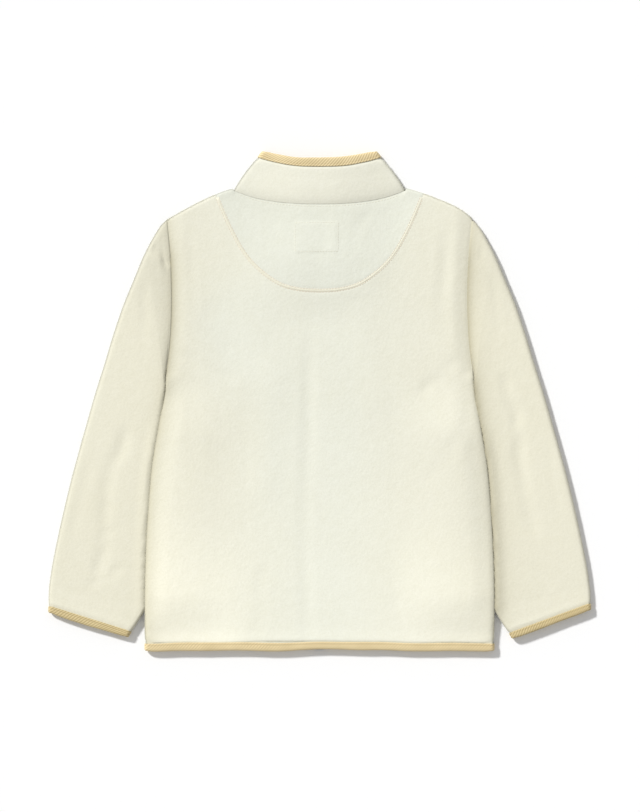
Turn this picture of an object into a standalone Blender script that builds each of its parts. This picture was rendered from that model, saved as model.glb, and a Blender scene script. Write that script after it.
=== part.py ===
"""Child's fleece jacket, zipped up and laid flat on its front with the back facing up.

Cut and sewn from a back with a set-in half-moon at the neck, two fronts, two set-in sleeves
and a stand collar. Woven tape binds the collar, cuffs and hem, and a zip closes the front.

Sizes are in millimetres and are turned into metres where points are placed. In the tables
"across" is measured from the centre back, "up" from the lowest edge of the hem, and heights
from the surface that the jacket lies on. +X is the right of the view from above, +Y runs
towards the collar and +Z points up.
"""
import math

import bmesh
import bpy
from mathutils import Vector

MM = 0.001

# ---- overall ----------------------------------------------------------------------------
GARMENT_LENGTH = 500.0      # lowest hem edge to highest point of the collar
CLOTH = 2.4                 # thickness of the fleece
CLOTH_IN_BINDING = 0.9      # fleece pressed thin inside a binding
SEAM_HALF_GAP = 0.25        # each side of a seam between two flat edges
FOLD_SEAM_HALF_GAP = 0.64   # each side of a seam that lies on a fold
SEAM_SLOPE_SHARE = 2.0      # how much that grows where the fold climbs
UNDERARM_RISE = 1.3         # back raised where the side fold turns into the armhole
FRONT_LEVEL = CLOTH / 2     # middle of the wall of the cloth that rests on the table
BACK_LEVEL = 5.7            # middle of the wall of the back, over the fronts
ARMHOLE_LEVEL = 4.6         # middle of the wall of the back and sleeve at the armhole seam
UNDERARM_UP = 275.0         # where the armhole ends and the side fold begins
ZIP_EDGE = 5.5              # edge of each front from the centre

# ---- rolled edges -----------------------------------------------------------------------
SIDE_ROLL = 4.6             # how far in from the side the back and front start to bend
SHOULDER_ROLL = 2.4
COLLAR_ROLL = (BACK_LEVEL - FRONT_LEVEL) / 2
ROLL_ANGLES = (0, 32, 62, 90)

# ---- lifts of the cloth -----------------------------------------------------------------
TUCK_LIFT = 6.4             # body raised where it lies on the tucked part of a sleeve
TUCK_RAMP = (104.0, 30.0)   # across: where the lift starts, and how wide its ramp is
SIDE_PUFF = 1.0             # extra loft of the back towards its sides
SIDE_PUFF_WIDTH = 48.0
ZIP_LIFT = 3.4              # fronts raised over the slider and its pull tab
ZIP_BACK_LIFT = 5.8         # back raised above them
SLIDER_UP = 445.0
ZIP_LIFT_HALF_LENGTH = 36.0
ZIP_LIFT_EASE = 34.0
ZIP_LIFT_HALF_WIDTH = 12.0

# ---- bindings ---------------------------------------------------------------------------
HEM_BINDING = 8.2
COLLAR_BINDING = 9.0
CUFF_BINDING = 7.4
BINDING_HALF = 1.75         # half of the thickness over the folded tape
BINDING_WALL = 1.0
BINDING_ROOM = 1.9          # from the end of the cloth to the tape's folded edge
BINDING_LEVEL_LOW = BINDING_HALF
BINDING_LEVEL_HIGH = BACK_LEVEL - FRONT_LEVEL + BINDING_HALF
BINDING_ROLL = (BINDING_LEVEL_HIGH - BINDING_LEVEL_LOW) / 2
BINDING_RISE = BINDING_LEVEL_LOW - FRONT_LEVEL
BINDING_EASE = 14.0         # length over which the cloth rises into a binding
CORNER_EASE = 0.3           # part of a binding's width lost at its rounded corners
CORNER_REACH = 4.5
HEM_DIP = 1.6               # the hem hangs lower at its sides than in the middle

# ---- zip --------------------------------------------------------------------------------
TAPE_OUTER = 14.0
TAPE_INNER = 1.6
TAPE_THICK = 1.0
TAPE_GAP = 0.5
CHAIN_WIDTH = 4.8
CHAIN_THICK = 1.6
CHAIN_RISE = 0.4            # middle of the chain above the middle of the fronts' wall
BOX_LENGTH = 9.0
BOX_WIDTH = 7.0
BOX_THICK = 2.6
SLIDER_WIDTH = 8.4
SLIDER_LENGTH = 11.0
PLATE_THICK = 1.0
SLIDER_CORE = 2.2
LUG_WIDTH = 1.4
LUG_LENGTH = 6.4
LUG_BAR = 0.8
PIVOT_ROOM = 1.0            # from the pivot's middle to the lug's bar and to the plate
TAB_WIDTH = 6.4
TAB_LENGTH = 24.0
TAB_THICK = 1.0
TAB_BAR_HALF = 0.6
TAB_SLOT_LENGTH = 4.2
TAB_SLOT_WIDTH = 2.6

# ---- outlines: first column is where, the others are how far ------------------------------
BODY_SIDE = (               # up, across: side fold, and armhole seam above the underarm
    (0.0, 175.3), (60.0, 175.3), (107.0, 174.0), (147.0, 171.6), (187.0, 168.0),
    (227.0, 161.5), (267.0, 155.5), (307.0, 150.0), (347.0, 148.0), (387.0, 148.6),
    (410.0, 150.3), (433.0, 152.5),
)
SHOULDER_TIP = 152.5
SHOULDER_UP = 433.0
SHOULDER_LINE = (           # across, up on the left, up on the right
    (84.0, 465.0, 465.2), (96.0, 461.4, 462.0), (108.0, 456.4, 457.8), (120.0, 450.8, 453.0),
    (132.0, 444.4, 448.0), (144.0, 437.8, 441.2), (152.5, 433.0, 434.0),
)
HALF_MOON = (               # across, up
    (0.0, 361.2), (20.0, 362.6), (40.0, 368.2), (60.0, 382.3), (75.0, 399.0),
    (90.0, 426.0), (103.3, 457.0),
)
HALF_MOON_END = 103.3
NECK_POINT = 86.0
BACK_NECK = (               # across, up
    (0.0, 447.6), (20.0, 448.0), (40.0, 449.6), (55.0, 451.9), (66.0, 454.4),
    (76.0, 457.6), (86.0, 461.6),
)
FRONT_NECK_DROP = 46.0      # front neck at the zip, below the neck points
FRONT_NECK_POWER = 2.2
COLLAR_TOP = (              # across, up: lower edge of the binding on the back of the collar
    (0.0, 485.3), (24.0, 486.2), (48.0, 490.6), (62.5, 494.8),
)
COLLAR_TOP_HALF = 62.5
COLLAR_FRONT_DIP = 40.0     # top of the collar at the zip, below its side corners
COLLAR_FRONT_POWER = 1.7
COLLAR_LEAN = 38.0          # degrees that the side folds lean inward at the binding
COLLAR_BOW = 1.5            # side folds of the collar bow out

# ---- sleeves: a row for each section, from the armhole to the cuff -------------------------
# out_across, out_up: outer edge; in_up: height of the inner edge; tuck: how far the inner
# edge lies under the side of the body; bow: how much the section bends like the armhole;
# loft: distance between the middles of the two walls
SLEEVE_SECTIONS = (
    (152.9, 433.0, 275.0, -0.4, 1.00, 3.4),
    (160.5, 425.3, 272.5, -1.3, 0.85, 3.9),
    (169.0, 412.3, 269.5, -1.3, 0.62, 4.8),
    (178.0, 395.0, 266.0, -1.3, 0.40, 5.6),
    (187.2, 371.5, 261.5, -1.2, 0.20, 5.8),
    (196.5, 347.5, 256.0, -1.1, 0.08, 5.8),
    (206.0, 318.5, 248.0, -0.8, 0.0, 5.8),
    (215.2, 288.0, 237.5, 1.0, 0.0, 5.8),
    (225.0, 257.0, 223.0, 12.2, 0.0, 5.8),
    (232.5, 231.0, 201.0, 21.5, 0.0, 5.8),
    (240.2, 203.5, 172.0, 25.3, 0.0, 5.8),
    (249.5, 168.5, 135.0, 25.8, 0.0, 5.8),
    (259.5, 126.0, 97.0, 22.2, 0.0, 5.6),
    (267.0, 90.0, 64.0, 12.2, 0.0, 5.2),
    (270.6, 66.0, 41.0, 0.2, 0.0, 4.6),
)
CUFF_OUT_WAY = Vector((0.0, -1.0))      # way out along the sleeve, at both ends of a cuff
CUFF_IN_WAY = Vector((0.5, -0.86))
CUFFS = {                   # upper edge of each cuff's binding
    "left": {"out": (271.6, 45.4), "in": (188.2, 19.6)},
    "right": {"out": (272.0, 48.0), "in": (189.6, 18.2)},
}
PRESSED_LOFT = 3.2          # loft of a sleeve where the body lies on it
UNDERARM_TURN = 0.8         # how far the armhole end of a sleeve turns along the seam

# ---- largest folds in the upper cloth: a row for each trough --------------------------------
FOLDS = (                   # on, from across, from up, to across, to up, depth, half width
    ("body", -12.0, 322.0, -13.0, 14.0, 0.5, 13.0),
    ("body", 127.0, 428.0, 124.0, 318.0, 0.6, 13.0),
    ("left", -194.0, 224.0, -214.0, 158.0, 0.8, 12.0),
    ("left", -214.0, 158.0, -219.0, 74.0, 0.8, 12.0),
    ("left", -163.5, 407.0, -151.5, 394.0, 1.2, 5.0),
    ("right", 186.0, 276.0, 197.0, 222.0, 0.8, 11.0),
    ("right", 197.0, 222.0, 213.0, 120.0, 0.9, 12.0),
)

# ---- mesh fineness ----------------------------------------------------------------------
NECK_STATIONS = (22.0, 42.0, 60.0, 75.0)        # across
NECK_FOLD_STATION = NECK_POINT - CLOTH / 2 - COLLAR_ROLL
SHOULDER_STATIONS = (NECK_FOLD_STATION, 86.0, 95.0, 101.2, 103.3)
SIDE_SHARES = (0.36, 0.7)           # between the half-moon's end and the side
EDGE_STATIONS = (14.0, 8.0)         # in from the side, before the roll
TOP_STATIONS = (14.0, 7.0)          # down from the top edge, before the roll
BODY_ROWS = (36.0, 84.0, 140.0, 196.0, 236.0, 248.0, 258.0, 267.0, 276.0, 287.0)     # up
UPPER_ROWS = 3
HEM_SHARES = (0.0, 0.22, 0.44, 0.66, 0.86)
SLEEVE_STATIONS = 6

PARTS = "fleece_jacket"
CUTTERS = "fleece_jacket_cutters"


# ---- small helpers ----------------------------------------------------------------------
def ease(value):
    """0 below 0, 1 above 1 and smooth between."""
    value = min(1.0, max(0.0, value))
    return value * value * (3.0 - 2.0 * value)


def mix(a, b, share):
    return a + (b - a) * share


def read(table, at, column=1):
    """Value of a table's column at a place in its first column, on a smooth curve."""
    rows = [(row[0], row[column]) for row in table]
    at = min(rows[-1][0], max(rows[0][0], at))
    last = len(rows) - 1
    index = next(i for i in range(last) if at <= rows[i + 1][0])

    def slope(i):
        low, high = max(0, i - 1), min(last, i + 1)
        return (rows[high][1] - rows[low][1]) / (rows[high][0] - rows[low][0])

    (x0, y0), (x1, y1) = rows[index], rows[index + 1]
    span = x1 - x0
    s = (at - x0) / span
    return (y0 * (1 + 2 * s) * (1 - s) ** 2 + slope(index) * span * s * (1 - s) ** 2
            + y1 * s * s * (3 - 2 * s) + slope(index + 1) * span * s * s * (s - 1))


def place(across, up, height):
    """A point in metres, with the origin under the middle of the garment."""
    return Vector((across * MM, (up - GARMENT_LENGTH / 2) * MM, height * MM))


def sign_of(hand):
    return -1.0 if hand == "left" else 1.0


def roll_profile(distance, reach):
    """1 on the fold itself, 0 where the cloth lies flat, round between."""
    if distance >= reach:
        return 0.0
    return 1.0 - math.sqrt(max(0.0, 1.0 - ((reach - distance) / reach) ** 2))


def roll_distances(reach):
    return [reach * (1.0 - math.sin(math.radians(angle))) for angle in ROLL_ANGLES]


# ---- outlines ---------------------------------------------------------------------------
def side_line(up):
    return read(BODY_SIDE, up)


def shoulder_line(across):
    column = 1 if across < 0 else 2
    return read(SHOULDER_LINE, abs(across), column)


def half_moon_line(across):
    return read(HALF_MOON, abs(across))


def back_neck_line(across):
    return read(BACK_NECK, abs(across))


def front_neck_line(across):
    half = NECK_POINT - CLOTH / 2
    share = min(1.0, abs(across) / half)
    return back_neck_line(half) - FRONT_NECK_DROP * (1.0 - share ** FRONT_NECK_POWER)


def collar_back_top(across):
    return read(COLLAR_TOP, abs(across))


def collar_front_top(across):
    half = COLLAR_TOP_HALF - BINDING_HALF
    share = min(1.0, abs(across) / half)
    return collar_back_top(half) - COLLAR_FRONT_DIP * (1.0 - share ** COLLAR_FRONT_POWER)


def hem_line(across):
    """Upper edge of the hem's binding."""
    return HEM_BINDING + HEM_DIP * max(0.0, 1.0 - (across / side_line(0.0)) ** 2)


# ---- heights of the cloth ---------------------------------------------------------------
def fold_relief(on, across, up):
    """Depth of the large folds at a point of the upper cloth."""
    depth = 0.0
    for panel, x0, y0, x1, y1, deep, half_width in FOLDS:
        if panel != on:
            continue
        along = Vector((x1 - x0, y1 - y0))
        offset = Vector((across - x0, up - y0))
        share = offset.dot(along) / along.length_squared
        ends = ease(share / 0.25 + 0.5) * ease((1.0 - share) / 0.25 + 0.5)
        away = abs(along.x * offset.y - along.y * offset.x) / along.length
        depth += deep * ends * ease(1.0 - away / half_width)
    return depth


def tuck_lift(across, up):
    """The body lies higher where a sleeve is tucked under it."""
    start, ramp = TUCK_RAMP
    return (TUCK_LIFT * ease((abs(across) - start) / ramp)
            * ease((UNDERARM_UP - 7.0 - up) / 20.0) * ease((up - 9.0) / 22.0))


def zip_bump(across, up):
    past_end = abs(up - (SLIDER_UP - 12.0)) - ZIP_LIFT_HALF_LENGTH
    past_side = abs(across) - ZIP_LIFT_HALF_WIDTH
    return ease(1.0 - past_end / ZIP_LIFT_EASE) * ease(1.0 - past_side / ZIP_LIFT_EASE)


def binding_rise(distance):
    return BINDING_RISE * (1.0 - ease(distance / BINDING_EASE))


def front_height(across, up):
    """Middle of the wall of the fronts, away from their rolled edges."""
    return (FRONT_LEVEL + tuck_lift(across, up) + ZIP_LIFT * zip_bump(across, up)
            + binding_rise(up - hem_line(across)))


def back_height(across, up):
    """Middle of the wall of the back, away from its rolled edges."""
    inside = side_line(up) - abs(across)
    puff = SIDE_PUFF * ease(1.0 - inside / SIDE_PUFF_WIDTH) * ease((up - 10.0) / 30.0)
    level = (BACK_LEVEL + tuck_lift(across, up) + puff + ZIP_BACK_LIFT * zip_bump(across, up)
             + binding_rise(up - hem_line(across)) - fold_relief("body", across, up))
    valley = armhole_share(up) * (1.0 - ease(inside / 13.0))
    return mix(level, ARMHOLE_LEVEL, valley)


def armhole_share(up):
    """1 along the armhole, 0 along the side fold."""
    return ease((up - UNDERARM_UP + 4.0) / 10.0)


def underarm_bump(up):
    """1 where the side fold turns into the armhole, 0 away from it."""
    return ease((up - UNDERARM_UP + 19.0) / 12.0) * ease((UNDERARM_UP + 11.0 - up) / 10.0)


def body_edge(up):
    """Where the middle of the body's wall ends at its side."""
    in_binding = 1.0 - ease((up - HEM_BINDING) / 14.0)
    inset = mix(CLOTH / 2, BINDING_HALF, in_binding)
    return side_line(up) - mix(inset, SEAM_HALF_GAP, armhole_share(up))


def side_roll(up):
    return mix(BINDING_ROLL, SIDE_ROLL, ease((up - HEM_BINDING) / 14.0))


def shoulder_edge(across):
    """Where the middle of the body's wall ends at the shoulder."""
    return shoulder_line(across) - CLOTH / 2


def seam_gap(line, across):
    """Height to leave on each side of a seam so that the gap square to it stays the same."""
    slope = (line(abs(across) + 0.5) - line(abs(across) - 0.5))
    return SEAM_HALF_GAP * math.hypot(1.0, SEAM_SLOPE_SHARE * slope)


def body_wall(layer, across, up):
    """Middle of the wall of a body panel, bent round the side and shoulder folds."""
    low = front_height(across, up)
    high = back_height(across, up)
    middle = (low + high) / 2
    share = armhole_share(up)
    side = roll_profile(body_edge(up) - abs(across), side_roll(up))
    reach = min(SHOULDER_ROLL, (high - low) / 2)
    fold = max((1.0 - share) * side, roll_profile(shoulder_edge(across) - up, reach))
    slope = (tuck_lift(across, up + 1.0) - tuck_lift(across, up - 1.0)) / 2
    gap = FOLD_SEAM_HALF_GAP * ease(fold) * math.hypot(1.0, SEAM_SLOPE_SHARE * slope)
    if layer == "back":
        return mix(high, middle, fold) + gap + UNDERARM_RISE * underarm_bump(up) * side
    return mix(low, middle, fold) - gap


# ---- building blocks --------------------------------------------------------------------
def material(name, colour, roughness, metallic=0.0):
    finish = bpy.data.materials.get(name) or bpy.data.materials.new(name)
    finish.use_nodes = True
    shader = finish.node_tree.nodes["Principled BSDF"]
    shader.inputs["Base Color"].default_value = (*colour, 1.0)
    shader.inputs["Roughness"].default_value = roughness
    shader.inputs["Metallic"].default_value = metallic
    return finish


FINISHES = {                # linear colour, roughness, metallic
    "fleece": ((0.84, 0.83, 0.70), 0.95, 0.0),
    "half_moon_fleece": ((0.82, 0.83, 0.72), 0.95, 0.0),
    "sleeve_fleece": ((0.83, 0.81, 0.66), 0.95, 0.0),
    "binding_twill": ((0.62, 0.52, 0.31), 0.85, 0.0),
    "zip_tape": ((0.72, 0.66, 0.47), 0.85, 0.0),
    "zip_chain": ((0.70, 0.62, 0.42), 0.45, 0.0),
    "zip_metal": ((0.62, 0.60, 0.56), 0.30, 1.0),
}


def finish_object(name, mesh, finish, collection=PARTS, smooth_angle=40.0):
    mesh.materials.append(material(finish, *FINISHES[finish]))
    mesh.shade_smooth()
    mesh.set_sharp_from_angle(angle=math.radians(smooth_angle))
    obj = bpy.data.objects.new(name, mesh)
    bpy.data.collections[collection].objects.link(obj)
    return obj


def cloth_piece(name, surface, columns, rows, finish, thin=(), thickness=CLOTH):
    """Open surface of a panel, one grid vertex for each column and row, given a wall.

    surface(column, row) gives the middle of the wall; thin names the rows that lie inside
    a binding, where the wall is pressed thinner. A tube's last column meets its first.
    """
    bm = bmesh.new()
    bmesh.ops.create_grid(bm, x_segments=columns - 1, y_segments=rows - 1, size=1.0)
    wall = bm.verts.layers.deform.verify()
    for vert in bm.verts:
        column = round((vert.co.x + 1.0) / 2.0 * (columns - 1))
        row = round((vert.co.y + 1.0) / 2.0 * (rows - 1))
        vert.co = surface(column, row)
        vert[wall][0] = CLOTH_IN_BINDING / thickness if row in thin else 1.0
    bmesh.ops.remove_doubles(bm, verts=bm.verts, dist=1e-6)
    mesh = bpy.data.meshes.new(name)
    bm.to_mesh(mesh)
    bm.free()
    piece = finish_object(name, mesh, finish)
    group = piece.vertex_groups.new(name="wall")
    solid = piece.modifiers.new("wall", "SOLIDIFY")
    solid.thickness = thickness * MM
    solid.offset = 0.0
    solid.vertex_group = group.name
    return piece


def binding_profile(width):
    """Section of the folded tape: out from the cloth, and through it."""
    half = BINDING_HALF
    inside = half - BINDING_WALL
    end = width - 1.2
    return (
        (0.0, half - 0.15), (1.0, half), (width - 1.8, half), (width - 0.5, half * 0.6),
        (width, 0.0), (width - 0.5, -half * 0.6), (width - 1.8, -half), (1.0, -half),
        (0.0, 0.15 - half), (0.0, -inside), (end, -inside), (end, inside), (0.0, inside),
    )


def corner_width(width, corner_distance):
    """A binding is narrower where it rounds a corner of the garment."""
    return width * (1.0 - CORNER_EASE * math.exp(-(corner_distance / CORNER_REACH) ** 2))


def bind_edge(name, rim, width, finish, closed):
    """Folded tape along an edge.

    rim is a list of (point on the edge, direction out along the cloth, distance to the
    nearest corner fold); the tape's section is set square to the cloth at each of them.
    """
    bm = bmesh.new()
    rings = []
    count = len(rim)
    for index, (point, outward, corner) in enumerate(rim):
        before = rim[(index - 1) % count if closed else max(0, index - 1)][0]
        after = rim[(index + 1) % count if closed else min(count - 1, index + 1)][0]
        normal = outward.cross(after - before).normalized()
        section = binding_profile(corner_width(width, corner))
        rings.append([bm.verts.new(point + outward * (a * MM) + normal * (b * MM))
                      for a, b in section])
    sides = len(rings[0])
    for index in range(count if closed else count - 1):
        this, following = rings[index], rings[(index + 1) % count]
        for side in range(sides):
            beside = (side + 1) % sides
            bm.faces.new((this[side], this[beside], following[beside], following[side]))
    if not closed:
        bm.faces.new(rings[0])
        bm.faces.new(rings[-1])
    bmesh.ops.recalc_face_normals(bm, faces=bm.faces)
    mesh = bpy.data.meshes.new(name)
    bm.to_mesh(mesh)
    bm.free()
    return finish_object(name, mesh, finish)


def block(name, size, centre, finish, bevel=0.0, collection=PARTS):
    """A box with rounded edges, sizes in millimetres."""
    bm = bmesh.new()
    bmesh.ops.create_cube(bm, size=1.0)
    bmesh.ops.scale(bm, vec=Vector(size) * MM, verts=bm.verts)
    mesh = bpy.data.meshes.new(name)
    bm.to_mesh(mesh)
    bm.free()
    obj = finish_object(name, mesh, finish, collection)
    obj.location = centre
    if bevel:
        rounded = obj.modifiers.new("edges", "BEVEL")
        rounded.width = bevel * MM
        rounded.segments = 2
        rounded.limit_method = "ANGLE"
    return obj


def combine(target, tool, operation):
    """Boolean with a piece that is kept as a hidden guide."""
    tool.hide_render = True
    tool.display_type = "WIRE"
    joined = target.modifiers.new(tool.name, "BOOLEAN")
    joined.object = tool
    joined.operation = operation
    joined.solver = "EXACT"


# ---- body -------------------------------------------------------------------------------
def body_columns(start):
    """Columns of half a body panel, from the centre to the side."""
    stations = [("fixed", across) for across in (start,) + NECK_STATIONS + SHOULDER_STATIONS]
    stations += [("share", share) for share in SIDE_SHARES]
    stations += [("edge", distance) for distance in EDGE_STATIONS]
    stations += [("roll", angle) for angle in ROLL_ANGLES]
    return stations


def column_across(station, up):
    kind, value = station
    edge = body_edge(up)
    if kind == "fixed":
        return value
    if kind == "share":
        return mix(SHOULDER_STATIONS[-1], edge - EDGE_STATIONS[0], value)
    if kind == "edge":
        return edge - value
    return edge - side_roll(up) * (1.0 - math.sin(math.radians(value)))


def body_rows(low, high, corner):
    """Heights of a body column's rows: through the hem's binding, then up to the top."""
    deep = corner_width(HEM_BINDING, corner) - BINDING_ROOM
    through = [low - deep, low, low + 1.3, low + BINDING_EASE]
    edge = list(TOP_STATIONS) + roll_distances(SHOULDER_ROLL)
    upper = [mix(BODY_ROWS[-1], high - edge[0], step / UPPER_ROWS)
             for step in range(1, UPPER_ROWS)]
    return through + list(BODY_ROWS) + upper + [high - distance for distance in edge]


def panel_top(layer, across):
    """Upper edge of the middle of a body panel's wall."""
    if layer == "front":
        seam, end = front_neck_line, NECK_POINT
    else:
        seam, end = half_moon_line, HALF_MOON_END
    if abs(across) > end:
        return shoulder_edge(across)
    return min(seam(abs(across)) - seam_gap(seam, across), shoulder_edge(across))


def body_panel(name, layer, stations, signs, finish):
    """A back or front panel: columns run from the hem to the top, rows across it."""
    columns = []
    for sign, station in zip(signs, stations):
        top_across = sign * column_across(station, SHOULDER_UP)
        column = []
        low = hem_line(column_across(station, 0.0))
        corner = body_edge(0.0) - column_across(station, 0.0)
        for up in body_rows(low, panel_top(layer, top_across), corner):
            across = sign * column_across(station, min(up, SHOULDER_UP))
            column.append(place(across, up, body_wall(layer, across, up)))
        columns.append(column)
    return cloth_piece(name, lambda column, row: columns[column][row],
                       len(columns), len(columns[0]), finish, thin=(0, 1))


def build_back():
    half = body_columns(0.0)
    stations = half[:0:-1] + half
    signs = [-1.0] * (len(half) - 1) + [1.0] * len(half)
    body_panel("back", "back", stations, signs, "fleece")


def build_fronts():
    half = body_columns(ZIP_EDGE)
    for hand in ("left", "right"):
        signs = [sign_of(hand)] * len(half)
        body_panel(f"front_{hand}", "front", half, signs, "fleece")


def half_moon_column(across):
    """Lower and upper end of a column of the half-moon; the last lies along the seam."""
    distance = abs(across)
    low = half_moon_line(distance) + seam_gap(half_moon_line, across)
    if distance < SHOULDER_STATIONS[3]:
        high = back_neck_line(distance) - seam_gap(back_neck_line, across)
        return (distance, low), (distance, min(high, shoulder_edge(across)))
    corner = HALF_MOON_END - 1.3
    return (distance - 0.4, low), (corner, shoulder_edge(math.copysign(corner, across)))


def build_half_moon():
    """Set-in panel between the half-moon seam, the shoulders and the back neck."""
    half = (0.0,) + NECK_STATIONS + SHOULDER_STATIONS[:4]
    across_list = [-across for across in half[:0:-1]] + list(half)
    steps = 4
    columns = []
    for across in across_list:
        (low_x, low), (high_x, high) = half_moon_column(across)
        edge = roll_distances(min(SHOULDER_ROLL, (high - low) * 0.5))
        heights = [mix(low, high - edge[0], step / steps) for step in range(steps)]
        heights += [high - distance for distance in edge]
        column = []
        for up in heights:
            x = math.copysign(mix(low_x, high_x, (up - low) / (high - low)), across)
            column.append(place(x, up, body_wall("back", x, up) + neck_groove(x, up, high)))
        columns.append(column)
    cloth_piece("back_half_moon", lambda column, row: columns[column][row],
                len(columns), len(columns[0]), "half_moon_fleece")


def neck_groove(across, up, high):
    """The back dips a little at the neck seam."""
    if abs(across) > NECK_POINT:
        return 0.0
    return -0.5 * (1.0 - ease((high - up) / 9.0))


def loop_stations(fronts, backs, half, reach):
    """One loop of flattened cloth, from the zip round both side folds and back to the zip.

    fronts and backs are the places across of the flat stations of each layer. Gives
    (layer, across, angle of the fold) from the left front edge to the right front edge.
    """
    roll = [(half - reach * (1.0 - math.sin(math.radians(angle))), angle)
            for angle in ROLL_ANGLES]
    left = [("front", -across, 0.0) for across in fronts]
    left += [("front", -across, angle) for across, angle in roll]
    left += [("back", -across, angle) for across, angle in roll[-2::-1]]
    left += [("back", -across, 0.0) for across in backs[:0:-1]]
    right = [(layer, -across, angle) for layer, across, angle in left[::-1]]
    return left + [("back", 0.0, 0.0)] + right


def collar_point(station, share):
    """Middle of the collar's wall at a share of its height; above 1 it is in the binding."""
    layer, across, _ = station
    half_low = NECK_POINT - CLOTH / 2
    half_high = COLLAR_TOP_HALF - BINDING_HALF
    bow = COLLAR_BOW * math.sin(math.pi * min(1.0, share)) * abs(across / half_low) ** 3
    start = ZIP_EDGE if layer == "front" else 0.0
    flat = half_low - COLLAR_ROLL
    inward = min(1.0, (abs(across) - start) / (flat - start))
    top_across = mix(start, half_high - COLLAR_ROLL, inward) + max(0.0, abs(across) - flat)
    top_across = math.copysign(top_across, across)
    if layer == "front":
        low_up = front_neck_line(across) + seam_gap(front_neck_line, across)
        high_up = collar_front_top(top_across)
    else:
        low_up = back_neck_line(across) + seam_gap(back_neck_line, across)
        high_up = collar_back_top(top_across)
    x = mix(across, top_across, share) + math.copysign(bow, across)
    y = mix(low_up, high_up, share)
    rise = binding_rise((1.0 - share) * (high_up - low_up))
    low = front_height(x, y) + rise
    dip = 0.5 * (1.0 - ease((y - low_up) / 9.0))
    high = BACK_LEVEL + ZIP_BACK_LIFT * zip_bump(x, y) + rise - dip
    angle = math.radians(station[2])
    middle = (low + high) / 2
    z = mix(middle, low, math.cos(angle)) if layer == "front" else \
        mix(middle, high, math.cos(angle))
    return place(x, y, z)


def collar_rim():
    """The collar's top edge, with its direction outward and the distance to a fold."""
    rim = []
    for station in collar_loop():
        layer, across, _ = station
        share = across / (NECK_POINT - CLOTH / 2)
        lean = math.radians(COLLAR_LEAN) * share * (abs(share) if layer == "back" else 1.0)
        outward = Vector((-math.sin(lean), math.cos(lean), 0.0))
        corner = NECK_POINT - CLOTH / 2 - abs(across)
        rim.append((collar_point(station, 1.0), outward, corner))
    return rim


def collar_loop():
    return loop_stations((ZIP_EDGE,) + NECK_STATIONS, (0.0,) + NECK_STATIONS,
                         NECK_POINT - CLOTH / 2, COLLAR_ROLL)


def build_collar():
    stations = collar_loop()
    rim = collar_rim()
    shares = (0.0, 0.12, 0.35, 0.6, 0.8)
    height = COLLAR_TOP[0][1] - BACK_NECK[0][1]
    shares += ((height - 1.3) / height,)

    def surface(column, row):
        if row < len(shares):
            return collar_point(stations[column], shares[row])
        edge, outward, corner = rim[column]
        inside = (0.3, corner_width(COLLAR_BINDING, corner) - BINDING_ROOM)[row - len(shares)]
        return edge + outward * (inside * MM)

    cloth_piece("collar", surface, len(stations), len(shares) + 2, "fleece",
                thin=(len(shares), len(shares) + 1))
    bind_edge("collar_binding", rim, COLLAR_BINDING, "binding_twill", closed=False)


def build_hem_binding():
    half = side_line(0.0) - BINDING_HALF
    middle = (BINDING_LEVEL_HIGH + BINDING_LEVEL_LOW) / 2
    ends = [half - distance for distance in EDGE_STATIONS]
    fronts = [mix(ZIP_EDGE, ends[0], share) for share in HEM_SHARES] + ends
    backs = [mix(0.0, ends[0], share) for share in HEM_SHARES] + ends
    levels = {"front": BINDING_LEVEL_LOW, "back": BINDING_LEVEL_HIGH}
    rim = []
    for layer, across, angle in loop_stations(fronts, backs, half, BINDING_ROLL):
        height = mix(middle, levels[layer], math.cos(math.radians(angle)))
        rim.append((place(across, hem_line(across), height), Vector((0.0, -1.0, 0.0)),
                    half - abs(across)))
    bind_edge("hem_binding", rim, HEM_BINDING, "binding_twill", closed=False)


# ---- sleeves ----------------------------------------------------------------------------
def sleeve_rows(hand, cuff_stations):
    """Ends of every section of a sleeve: outer and inner edge, bow, loft, binding rise.

    cuff_stations are the distances of the last sections past the binding's upper edge.
    """
    rows = []
    for out_across, out_up, in_up, tuck, bow, loft in SLEEVE_SECTIONS:
        rows.append({"out": Vector((out_across, out_up)), "bow": bow, "loft": loft,
                     "in": Vector((side_line(in_up) - tuck, in_up)), "rise": 0.0})
    cuff = CUFFS[hand]
    edge_out, edge_in = Vector(cuff["out"]), Vector(cuff["in"])
    last = rows[-1]
    loft = BINDING_LEVEL_HIGH - BINDING_LEVEL_LOW
    for along in cuff_stations:
        if along < 0.0:
            share = -along / (last["in"] - edge_in).length
            ends = edge_out.lerp(last["out"], share), edge_in.lerp(last["in"], share)
        else:
            ends = edge_out + CUFF_OUT_WAY * along, edge_in + CUFF_IN_WAY * along
        rows.append({"out": ends[0], "in": ends[1], "bow": 0.0, "loft": loft,
                     "rise": binding_rise(max(0.0, -along))})
    return rows


def fold_way(rows, index, edge, turn):
    """Way out of a section at one of its ends, square to the fold that the ends make."""
    before = rows[max(0, index - 1)][edge]
    after = rows[min(len(rows) - 1, index + 1)][edge]
    along = (after - before).normalized()
    return Vector((-along.y, along.x)) * turn


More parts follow.
